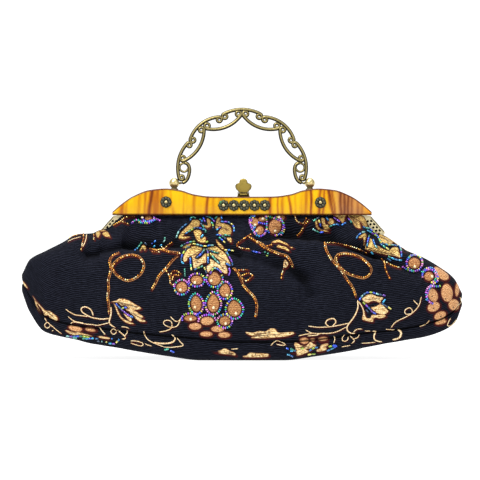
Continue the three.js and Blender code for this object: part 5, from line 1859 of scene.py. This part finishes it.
def cord(run, shift, wider):
    """A flat cord of thread along a traced line, shifted sideways."""
    places, along, up = run
    turn = turns(THREAD_SIDES)
    across = np.cross(up, along)
    size = np.ones(len(places))
    size[[0, -1]] = 0.4
    wide = wider * THREAD_HALF_WIDTH * size[:, None, None] * np.cos(turn)[None, :, None] * across[:, None, :]
    high = THREAD_HEIGHT * size[:, None, None] * np.sin(turn)[None, :, None] * up[:, None, :]
    return loft((places + shift * across + THREAD_LIFT * up)[:, None, :] + wide + high)


def tendrils(surface, side, name):
    """Plain thread: the tendrils, and the lines beside the beads of the vines."""
    threads = [(pixels, 0.0, WIDE_TENDRILS.get(key, 1.0), 0) for key, pixels in TENDRILS.items()]
    threads += [(VINES[key], -side * VINE_THREAD_GAP, VINE_THREAD_WIDTH, 1) for key in THREADED_VINES]
    parts, orange = [], []
    for pixels, shift, wider, tone in threads:
        for run in surface.runs(drawn([pixels], side), side, THREAD_STEP):
            parts.append(cord(run, shift, wider))
            orange.append(np.full(len(parts[-1][0]), tone))
    piece = make_piece(name, *joined(parts), GOLD_THREAD)
    paint(piece, "orange", np.concatenate(orange))
    return piece


# Frame and fittings

def frame_streaks(seen_at, z):
    """How dark the resin is at places along the frame, in pixels, and heights."""
    down = np.clip((STREAK_TOP - z) / (STREAK_TOP - FRAME_BOTTOM), 0, 1)
    dark = np.zeros(len(z))
    for top, foot, wide, depth in zip(*FRAME_STREAKS.values()):
        wave = STREAK_WAVE * np.sin(z / STREAK_WAVE_LENGTH + top)
        off = seen_at + wave - lerp(top, foot, down)
        dark = np.maximum(dark, depth * np.exp(-np.abs(off / (STREAK_SPREAD * wide)) ** STREAK_POWER))
    return dark


def frame_section(crest):
    """The outline (out, z) of a frame half where its top is that high, and the painted shade of its edges."""
    soft = min(FRAME_SOFT, FRAME_SOFT_SHARE * (crest - FRAME_BOTTOM))
    foot, brow, lip = FRAME_BOTTOM + soft, crest - soft, FRAME_FACE - soft
    back = FRAME_SPLIT + FRAME_CHAMFER
    corner = np.linspace(0, math.pi / 2, 6)
    section = [(back, FRAME_BOTTOM), (lip, FRAME_BOTTOM)]
    section += [(lip + soft * math.sin(t), foot - soft * math.cos(t)) for t in corner[1:]]
    section += [
        (FRAME_FACE + FRAME_DOME * math.sin(math.pi * s), lerp(foot, brow, s)) for s in FRAME_FACE_SHARES
    ]
    section += [(lip + soft * math.cos(t), brow + soft * math.sin(t)) for t in corner]
    section += [
        (back, crest), (FRAME_SPLIT, crest - FRAME_CHAMFER), (FRAME_SPLIT, FRAME_BOTTOM + FRAME_CHAMFER),
    ]
    height = np.array(section)[:, 1]
    # Painted shade along the top bevel and along the foot of the frame
    edge = 0.95 * smoothstep((height - crest + 1.1 * soft) / (0.5 * soft))
    edge += 0.9 * smoothstep((FRAME_BOTTOM + 1.25 * soft - height) / (0.7 * soft))
    return section, np.clip(edge, 0, 1)


def frame_half(name, side):
    """A resin frame half: a domed face with rounded edges, lofted along the bag."""
    x = np.concatenate([-FRAME_STATIONS[:0:-1], FRAME_STATIONS])
    rings, edges = [], []
    for station, crest in zip(x, through(FRAME_OUTLINE, "x", "top", np.abs(x))):
        section, edge = frame_section(crest)
        rings.append([(station, side * out, z) for out, z in section])
        edges.append(edge)
    points, faces = loft(rings, turned=False)
    piece = make_piece(name, points, faces, AMBER, closed=True)
    seen_at = PHOTO_MIDDLE - side * points[:, 0] / PHOTO_PIXEL
    red_tip = rise(seen_at, *RED_TIP)
    # The edge layer is painted shade along the top and bottom edges
    paint(piece, "edge", edges)
    paint(piece, "streak", frame_streaks(seen_at, points[:, 2]))
    paint(piece, "rosy", rise(seen_at, *ROSY) * (1 - red_tip))
    paint(piece, "red_tip", RED_TIP_DEPTH * red_tip)
    return piece


def rosette_parts(x, z, scallop):
    """A flower of eight petals round a dished middle, facing the front, and how dark it is."""
    turn = turns(ROSETTE_PETALS * PETAL_STEPS)
    petal = np.abs(np.cos(ROSETTE_PETALS * turn / 2))
    rings, recess = [], []
    for share in PETAL_SHARES:
        radius = ROSETTE_RADIUS * share * (1 - scallop * (1 - petal) * share**2)
        swell = math.sin(math.pi * min(1, max(0, (share - PETAL_FOOT) / PETAL_LENGTH)))
        height = ROSETTE_LEVEL + PETAL_RAISE * swell * petal**0.8 - ROSETTE_DISH * (1 - swell)
        ring = [x + radius * np.cos(turn), -ROSETTE_FACE - height, z + radius * np.sin(turn)]
        rings.append(np.stack(ring, axis=-1))
        recess.append(1 - 0.9 * swell * petal)
    rim = rings[-1].copy()
    rim[:, 1] = -ROSETTE_FACE
    rings.append(rim)
    recess.append(np.ones(len(turn)))
    return loft(rings, turned=False), np.concatenate(recess)


def rosette_piece(name, spots, scallop):
    solids, recesses = zip(*(rosette_parts(x, z, scallop) for x, z in spots))
    points, faces = joined(solids)
    piece = make_piece(name, points, faces, BRONZE, closed=True)
    paint(piece, "recess", np.concatenate(recesses))
    from_stain = np.hypot(points[:, 0] - VERDIGRIS_X, points[:, 2] - VERDIGRIS_Z)
    paint(piece, "verdigris", np.exp(-((from_stain / VERDIGRIS_REACH) ** 2)))
    return piece


def rivet_piece(name, x, z):
    """A domed pin in the middle of a rosette, with painted shade on its lower half and round its foot."""
    turn = np.linspace(0, math.pi / 2, 7)[:-1]
    dome = [(RIVET_RADIUS * math.cos(t), RIVET_RIM + RIVET_DOME * math.sin(t)) for t in turn]
    points, faces = lathe([(RIVET_RADIUS, 0.0), *dome, (RIVET_TIP, RIVET_RIM + RIVET_DOME)], 20)
    foot = RIVET_SUNK - ROSETTE_FACE - ROSETTE_THICK
    placed = np.stack([x + points[:, 0], foot - points[:, 2], z + points[:, 1]], axis=-1)
    piece = make_piece(name, placed, faces, POLISHED, closed=True)
    # Painted shade: near black round the foot, growing over the lower half of the dome
    under = smoothstep(0.3 - points[:, 1] / RIVET_RADIUS)
    paint(piece, "recess", np.where(points[:, 2] < 0.2, 0.9, 0.15 + 0.6 * under))
    return piece


def ball_stud(name, side):
    """A polished ball on a flared neck, with painted shade over its lower half and its neck."""
    seat = float(through(FRAME_OUTLINE, "x", "top", STUD_X)) - STUD_SUNK
    neck = math.asin(STUD_NECK / BALL_RADIUS)
    turn = np.linspace(-math.pi / 2 + neck, math.pi / 2, 18)
    profile = [(radius, seat + up) for radius, up in STUD_FOOT]
    profile += [(max(0.05, BALL_RADIUS * math.cos(t)), PIVOT_Z + BALL_RADIUS * math.sin(t)) for t in turn]
    points, faces = lathe(profile, 32)
    piece = make_piece(name, points + np.array([side * STUD_X, HARDWARE_Y, 0]), faces, POLISHED, closed=True)
    # Painted shade, growing down the lower half of the ball and over its neck
    paint(piece, "recess", rise(points[:, 2], *STUD_SHADE_HEIGHTS))
    return piece


def scroll_path(x0, z0, x1, z1, bow, roll):
    """A volute, the arc that runs tangent to both, and the other volute: x, z and radius of the wire."""
    start, end = np.array([x0, z0]), np.array([x1, z1])
    chord = np.linalg.norm(end - start)
    radius = (chord**2 / 4 + bow**2 - roll**2) / (2 * (bow - roll))
    left = np.array([z0 - z1, x1 - x0]) / chord
    centre = (start + end) / 2 + left * (bow - radius)
    outward = math.atan2(left[1], left[0])
    half = math.asin(chord / 2 / (radius - roll))

    share = np.linspace(0, 1, VOLUTE_STEPS)[1:]
    wire = lerp(WIRE_RADIUS, VOLUTE_WIRE, smoothstep(share / VOLUTE_THINNING))
    coil = (roll + WIRE_RADIUS) * (1 - VOLUTE_SHRINK * share**VOLUTE_SHRINK_POWER) - wire
    curl = half + share * VOLUTE_TURNS * 2 * math.pi
    sweep = np.linspace(half, -half, SCROLL_ARC_STEPS)

    def around(hub, r, turn, thick):
        return np.stack([hub[0] + r * np.cos(turn), hub[1] + r * np.sin(turn), thick], axis=-1)

    first = around(start, coil, outward + curl, wire)[::-1]
    arc = around(centre, radius, outward + sweep, np.full(SCROLL_ARC_STEPS, WIRE_RADIUS))
    last = around(end, coil, outward - curl, wire)
    return resampled(np.vstack([first, arc, last]), SCROLL_STEP)


def with_third(path, value):
    """A path with a third column, the same all along: a wire's radius or a height."""
    return np.column_stack([path, np.full(len(path), value)])


def handle_piece():
    """The scrolled bail handle with a pin at each foot, with painted shade on the flanks of its wires."""
    crown, *flank = [scroll_path(*scroll) for scroll in SCROLLS]
    turn = np.linspace(0, 2 * math.pi, 33)
    ring = np.array(SCROLL_RING) + SCROLL_RING_RADIUS * np.stack([np.cos(turn), np.sin(turn)], axis=-1)
    pin = [(LEG[-1][0], PIVOT_Z), (-STUD_X - PIN_PAST_STUD, PIVOT_Z)]
    flank.append(with_third(rounded(LEG, 0.7), WIRE_RADIUS))
    flank.append(with_third(ring, SCROLL_RING_WIRE))
    flank.append(with_third(resampled(pin, 1), PIN_RADIUS))
    mirrored = [(wire * np.array([-1, 1, 1]))[::-1] for wire in flank]
    wires = [crown, *flank, *mirrored]
    solids = [tube(wire[:, :2], wire[:, 2], WIRE_DEPTH * wire[:, 2], WIRE_SIDES) for wire in wires]
    points, faces = joined(solids)
    points[:, 1] += HARDWARE_Y
    piece = make_piece("handle_casting", points, faces, BRASS, closed=True)
    # Painted shade on the wires' flanks, lighter on the upper ones and darker on the lower ones
    facing = normals_of(piece)
    sideways = np.hypot(facing[:, 0], facing[:, 2])
    lit_up_to = FLANK_LIT_UP_TO + UPPER_FLANK_LIT_MORE * facing[:, 2] / np.maximum(sideways, 0.2)
    paint(piece, "recess", FLANK_SHADE * rise(sideways, lit_up_to, lit_up_to + FLANK_BLEND))
    return piece


def collar_shade(part):
    """How dark the clasp's collar is at its points: painted shade above and below a lit brass band."""
    return 0.3 + 0.7 * rise(np.abs(part[0][:, 2] - COLLAR_BAND_Z), *COLLAR_BAND_EDGE)


def hinge_turned(profile, x):
    """A turned part on the axis of the clasp's hinge, its heights measured from x."""
    spun, faces = lathe(profile, 24)
    return np.stack([x + spun[:, 2], HARDWARE_Y + spun[:, 0], CLASP_PIN_Z + spun[:, 1]], axis=-1), faces


def clasp_tab():
    """The trefoil lift tab with its hinge barrel and the tongue under it."""
    shares = np.linspace(-1, 1, 17)
    bulge = CLASP_THICK / 2 * (1 - CLASP_RIM_THIN * np.abs(shares) ** 6)
    rings = []
    for height, wide in zip(CLASP_LEVELS, through(CLASP_OUTLINE, "up", "half", CLASP_LEVELS)):
        x = CLASP_X + wide * shares
        deep = bulge * (1 - CLASP_TIP_THIN * rise(height, *CLASP_TIP))
        front = np.stack([x, HARDWARE_Y - deep], axis=-1)
        back = np.stack([x[::-1], HARDWARE_Y + deep], axis=-1)
        rings.append(with_third(np.vstack([front, back]), CLASP_PIN_Z + height))
    plate = loft(rings, turned=False)
    reach = CLASP_HALF - CLASP_EAR - 0.3
    barrel = hinge_turned([
        (0.9, -reach), (1.35, 0.15 - reach), (CLASP_BARREL, 0.5 - reach),
        (CLASP_BARREL, reach - 0.5), (1.35, reach - 0.15), (0.9, reach),
    ], CLASP_X)
    tongue = slab(*TONGUE, BAR_SOFT)
    piece = make_piece("clasp_trefoil", *joined([plate, barrel, tongue]), OLIVE_BRASS, closed=True)
    # Painted shade along the tab's rounded side rims, and the collar's painted shade on barrel and tongue
    rim = np.tile(np.abs(shares) ** 7, 2 * len(rings))
    paint(piece, "recess", np.concatenate([rim, collar_shade(barrel), collar_shade(tongue)]))
    return piece


def clasp_seat():
    """The foot, the wall behind the hinge and the two ears that the tab turns between."""
    left, right, floor = CLASP_X - CLASP_HALF, CLASP_X + CLASP_HALF, FRAME_MIDDLE_TOP

    def bar(x0, x1, reach, z0, z1, soft):
        front, back = reach
        return slab((x0, HARDWARE_Y + front, z0), (x1, HARDWARE_Y + back, z1), soft)

    parts = [bar(left - SEAT_PAST, right + SEAT_PAST, SEAT_Y, floor, floor + SEAT_THICK, BAR_SOFT)]
    for x in (left, right - CLASP_EAR):
        parts.append(bar(x, x + CLASP_EAR, EAR_Y, floor + EAR_RAISED, CLASP_PIN_Z, EAR_SOFT))
        parts.append(hinge_turned([
            (CLASP_BARREL - 0.15, 0), (CLASP_BARREL, 0.15),
            (CLASP_BARREL, CLASP_EAR - 0.15), (CLASP_BARREL - 0.15, CLASP_EAR),
        ], x))
    parts.append(bar(left, right, WALL_Y, floor + EAR_RAISED, CLASP_PIN_Z, EAR_SOFT))
    seat = joined(parts)
    piece = make_piece("clasp_hinge_seat", *seat, OLIVE_BRASS, closed=True)
    # Painted shade: the wall behind the hinge is fully dark, the rest takes the collar's shading
    behind = seat[0][:, 1] > HARDWARE_Y + WALL_FROM
    paint(piece, "recess", np.where(behind, 1.0, collar_shade(seat)))
    return piece


def arm_trim(name, side):
    """The milled and plain bars, the raised rings and the hollows, dark with painted shade, of a pair of
    pierced arms.
    """
    start, end = np.array(ARM_START), np.array(ARM_END)
    length = np.linalg.norm(end - start)
    along = (end - start) / length
    inward = np.array([along[1], -along[0]])
    flip = np.array([side, 1])
    turn = np.linspace(0, 2 * math.pi, 25)
    circle = np.stack([np.cos(turn), np.sin(turn)], axis=-1)
    step = length / ARM_HOLES
    parts, recess = [], []

    def add(part, face, dark):
        points, faces = part
        parts.append((points + np.array([0, face, 0]), faces))
        recess.append(np.full(len(points), dark))

    def dots(reaches, inset, size, face, dark):
        spots = (start + np.asarray(reaches)[:, None] * along + inset * inward) * flip
        places = np.stack([spots[:, 0], np.zeros(len(spots)), spots[:, 1]], axis=-1)
        up = np.tile([0.0, 1.0, 0.0], (len(places), 1))
        ways = np.tile([side * along[0], 0.0, along[1]], (len(places), 1))
        add(scattered(ball(2), places, ways, up, np.tile(size, (len(places), 1))), face, dark)

    for face in (-ARM_FACE, ARM_FACE):
        for inset, half, dark in zip(*ARM_BARS.values()):
            path = resampled([start + inset * inward + 0.6 * along, end + inset * inward], 1.2)
            add(tube(path * flip, half, ARM_BAR_DEPTH, 8), face, dark)
        milling = np.arange(0.8, length - 0.2, ARM_MILLING_PITCH)
        dots(milling, ARM_BARS["inset"][0], ARM_MILLING, face, 0)
        for k in range(ARM_HOLES):
            hub = start + (k + 0.5) * step * along + ARM_HOLE_INSET * inward
            ring = hub + (ARM_HOLE_RADIUS + ARM_RING_GAP) * circle
            add(tube(ring * flip, *ARM_RING_WIRE, 6, tips=False), face, 0)
        # Near-black discs in the holes and pits: painted shade where the arm is pierced
        sunk = face - math.copysign(ARM_HOLLOW_SUNK, face)
        dots((np.arange(ARM_HOLES) + 0.5) * step, ARM_HOLE_INSET, ARM_HOLLOW, sunk, ARM_DARK)
        dots((np.arange(ARM_HOLES - 1) + 1) * step, ARM_PIT_INSET, ARM_PIT, face, ARM_DARK)
    piece = make_piece(name, *joined(parts), PALE_BRASS)
    paint(piece, "recess", np.concatenate(recess))
    return piece


# Studio, in metres

FLOOR_HALF = 6.0
SWEEP_START = 3.6
SWEEP_RADIUS = 0.9
SWEEP_HEIGHT = 3.2
CAMERA_TARGET = Vector((EYE_X, 0, 99.1)) * MM
PICTURE_WIDTH = 480 * PHOTO_PIXEL * MM
SENSOR = 36.0
BAG_MIDDLE = Vector((0, 0, 0.09))
WALL_MIDDLE = Vector((0, 1.5, 0.6))
# Name, place, what it points at, size and power of each soft light
LAMPS = [
    ("key", (-1.0, -1.4, 1.9), BAG_MIDDLE, 1.0, 46),
    ("fill", (1.7, -2.0, 0.8), BAG_MIDDLE, 1.6, 12),
    ("top", (0.1, 0.0, 2.2), BAG_MIDDLE, 1.2, 28),
    ("wall", (0.0, 0.2, 2.6), WALL_MIDDLE, 2.5, 24),
]
WORLD_STRENGTH = 0.35


def aimed(name, data, place, target):
    """A lamp or camera that looks at a target."""
    rig = bpy.data.objects.new(name, data)
    rig.location = place
    rig.rotation_euler = (target - rig.location).to_track_quat("-Z", "Y").to_euler()
    bpy.context.scene.collection.objects.link(rig)
    return rig


def studio():
    """A pale floor that sweeps up behind the bag, and soft lights."""
    turn = np.linspace(0.15, math.pi / 2, 14)
    sweep = [(-FLOOR_HALF, 0.0), (SWEEP_START, 0.0)]
    sweep += [(SWEEP_START + SWEEP_RADIUS * math.sin(t), SWEEP_RADIUS * (1 - math.cos(t))) for t in turn]
    sweep.append((SWEEP_START + SWEEP_RADIUS, SWEEP_HEIGHT))
    points = [(x, y, z) for y, z in sweep for x in (-FLOOR_HALF, FLOOR_HALF)]
    floor = make_piece("studio_floor", np.array(points) / MM, grid_faces(len(sweep), 2), floor_look())
    floor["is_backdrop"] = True
    for name, place, target, size, power in LAMPS:
        light = bpy.data.lights.new(name, "AREA")
        light.size = size
        light.energy = power
        aimed(name, light, place, target)
    world = bpy.data.worlds.new("studio_world")
    world.use_nodes = True
    backdrop = world.node_tree.nodes["Background"]
    backdrop.inputs["Color"].default_value = (1, 1, 1, 1)
    backdrop.inputs["Strength"].default_value = WORLD_STRENGTH
    bpy.context.scene.world = world
    bpy.context.scene.view_settings.view_transform = "Standard"


def camera():
    lens = bpy.data.cameras.new("camera")
    lens.sensor_width = SENSOR
    lens.clip_end = 50
    eye = aimed("camera", lens, Vector((EYE_X, -EYE_DISTANCE, EYE_Z)) * MM, CAMERA_TARGET)
    lens.lens = SENSOR * (CAMERA_TARGET - eye.location).length / PICTURE_WIDTH
    bpy.context.scene.camera = eye


# The whole bag

def place(piece, slot, *nodes, body="bag"):
    """Rides on its body and stands for its nodes, which it hides; the slot is not used."""
    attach(piece, body)
    if nodes:
        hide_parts(*nodes)


def cloth_and_beads():
    front, front_outside = cloth_piece("front_cloth", side_panel(-1, FRONT_STEPS, FRONT_FOLDS))
    base, base_outside = cloth_piece("base_cloth", base_panel())
    back, back_outside = cloth_piece("back_cloth", side_panel(1, BACK_STEPS, BACK_FOLDS))
    place(front, "tapestry", "front_panel")
    place(base, "tapestry", "base_panel")
    place(back, "tapestry", "back_panel")
    trims = {}
    for word, side, outside in (("front", -1, front_outside), ("back", 1, back_outside)):
        surface = Surface([outside, base_outside])
        trims[word] = [
            seed_beads(surface, side, f"seed_beads_{word}"),
            gold_beads(surface, side, f"gold_beads_{word}"),
            bugle_beads(surface, side, f"bugle_beads_{word}"),
            pearls(surface, side, f"pearls_{word}"),
            tendrils(surface, side, f"tendrils_{word}"),
        ]
        for trim in trims[word]:
            place(trim, "tapestry")
    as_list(trims["front"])
    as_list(trims["back"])


def fittings():
    place(frame_half("frame_front_resin", -1), "amber_resin", "frame_front")
    place(frame_half("frame_back_resin", 1), "amber_resin", "frame_back")
    row = [(x, ROSETTE_ROW_Z) for x in ROSETTE_ROW_X]
    place(rosette_piece("rosette_row_relief", row, ROW_SCALLOP), "dark_bronze", "rosette_row")
    for n, (x, z) in enumerate(row, 1):
        place(rivet_piece(f"rivet_dome_row_{n}", x, z), "antique_brass", f"rivet_row_{n}")
    for word, spot in ROSETTE_SINGLES.items():
        rosette = rosette_piece(f"rosette_relief_{word}", [spot], SINGLE_SCALLOP)
        place(rosette, "dark_bronze", f"rosette_{word}")
        place(rivet_piece(f"rivet_dome_{word}", *spot), "antique_brass", f"rivet_{word}")
    for word, side in (("left", -1), ("right", 1)):
        place(ball_stud(f"ball_{word}", side), "antique_brass", f"ball_stud_{word}")
        place(arm_trim(f"arm_trim_{word}", side), "antique_brass")
        for node in (f"arm_front_{word}", f"arm_back_{word}", f"hinge_pin_{word}"):
            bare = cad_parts[node]
            bare.data.materials.clear()
            bare.data.materials.append(PALE_BRASS)
    place(handle_piece(), "antique_brass", "handle", body="handle")
    place(clasp_tab(), "antique_brass", "clasp_tab", body="clasp")
    place(clasp_seat(), "antique_brass", "clasp_seat")


studio()
camera()
fittings()
cloth_and_beads()

sizes = {"cad": CAD_BOX, "visual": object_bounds()}
{name: [[float(v) for v in corner] for corner in box] for name, box in sizes.items()}
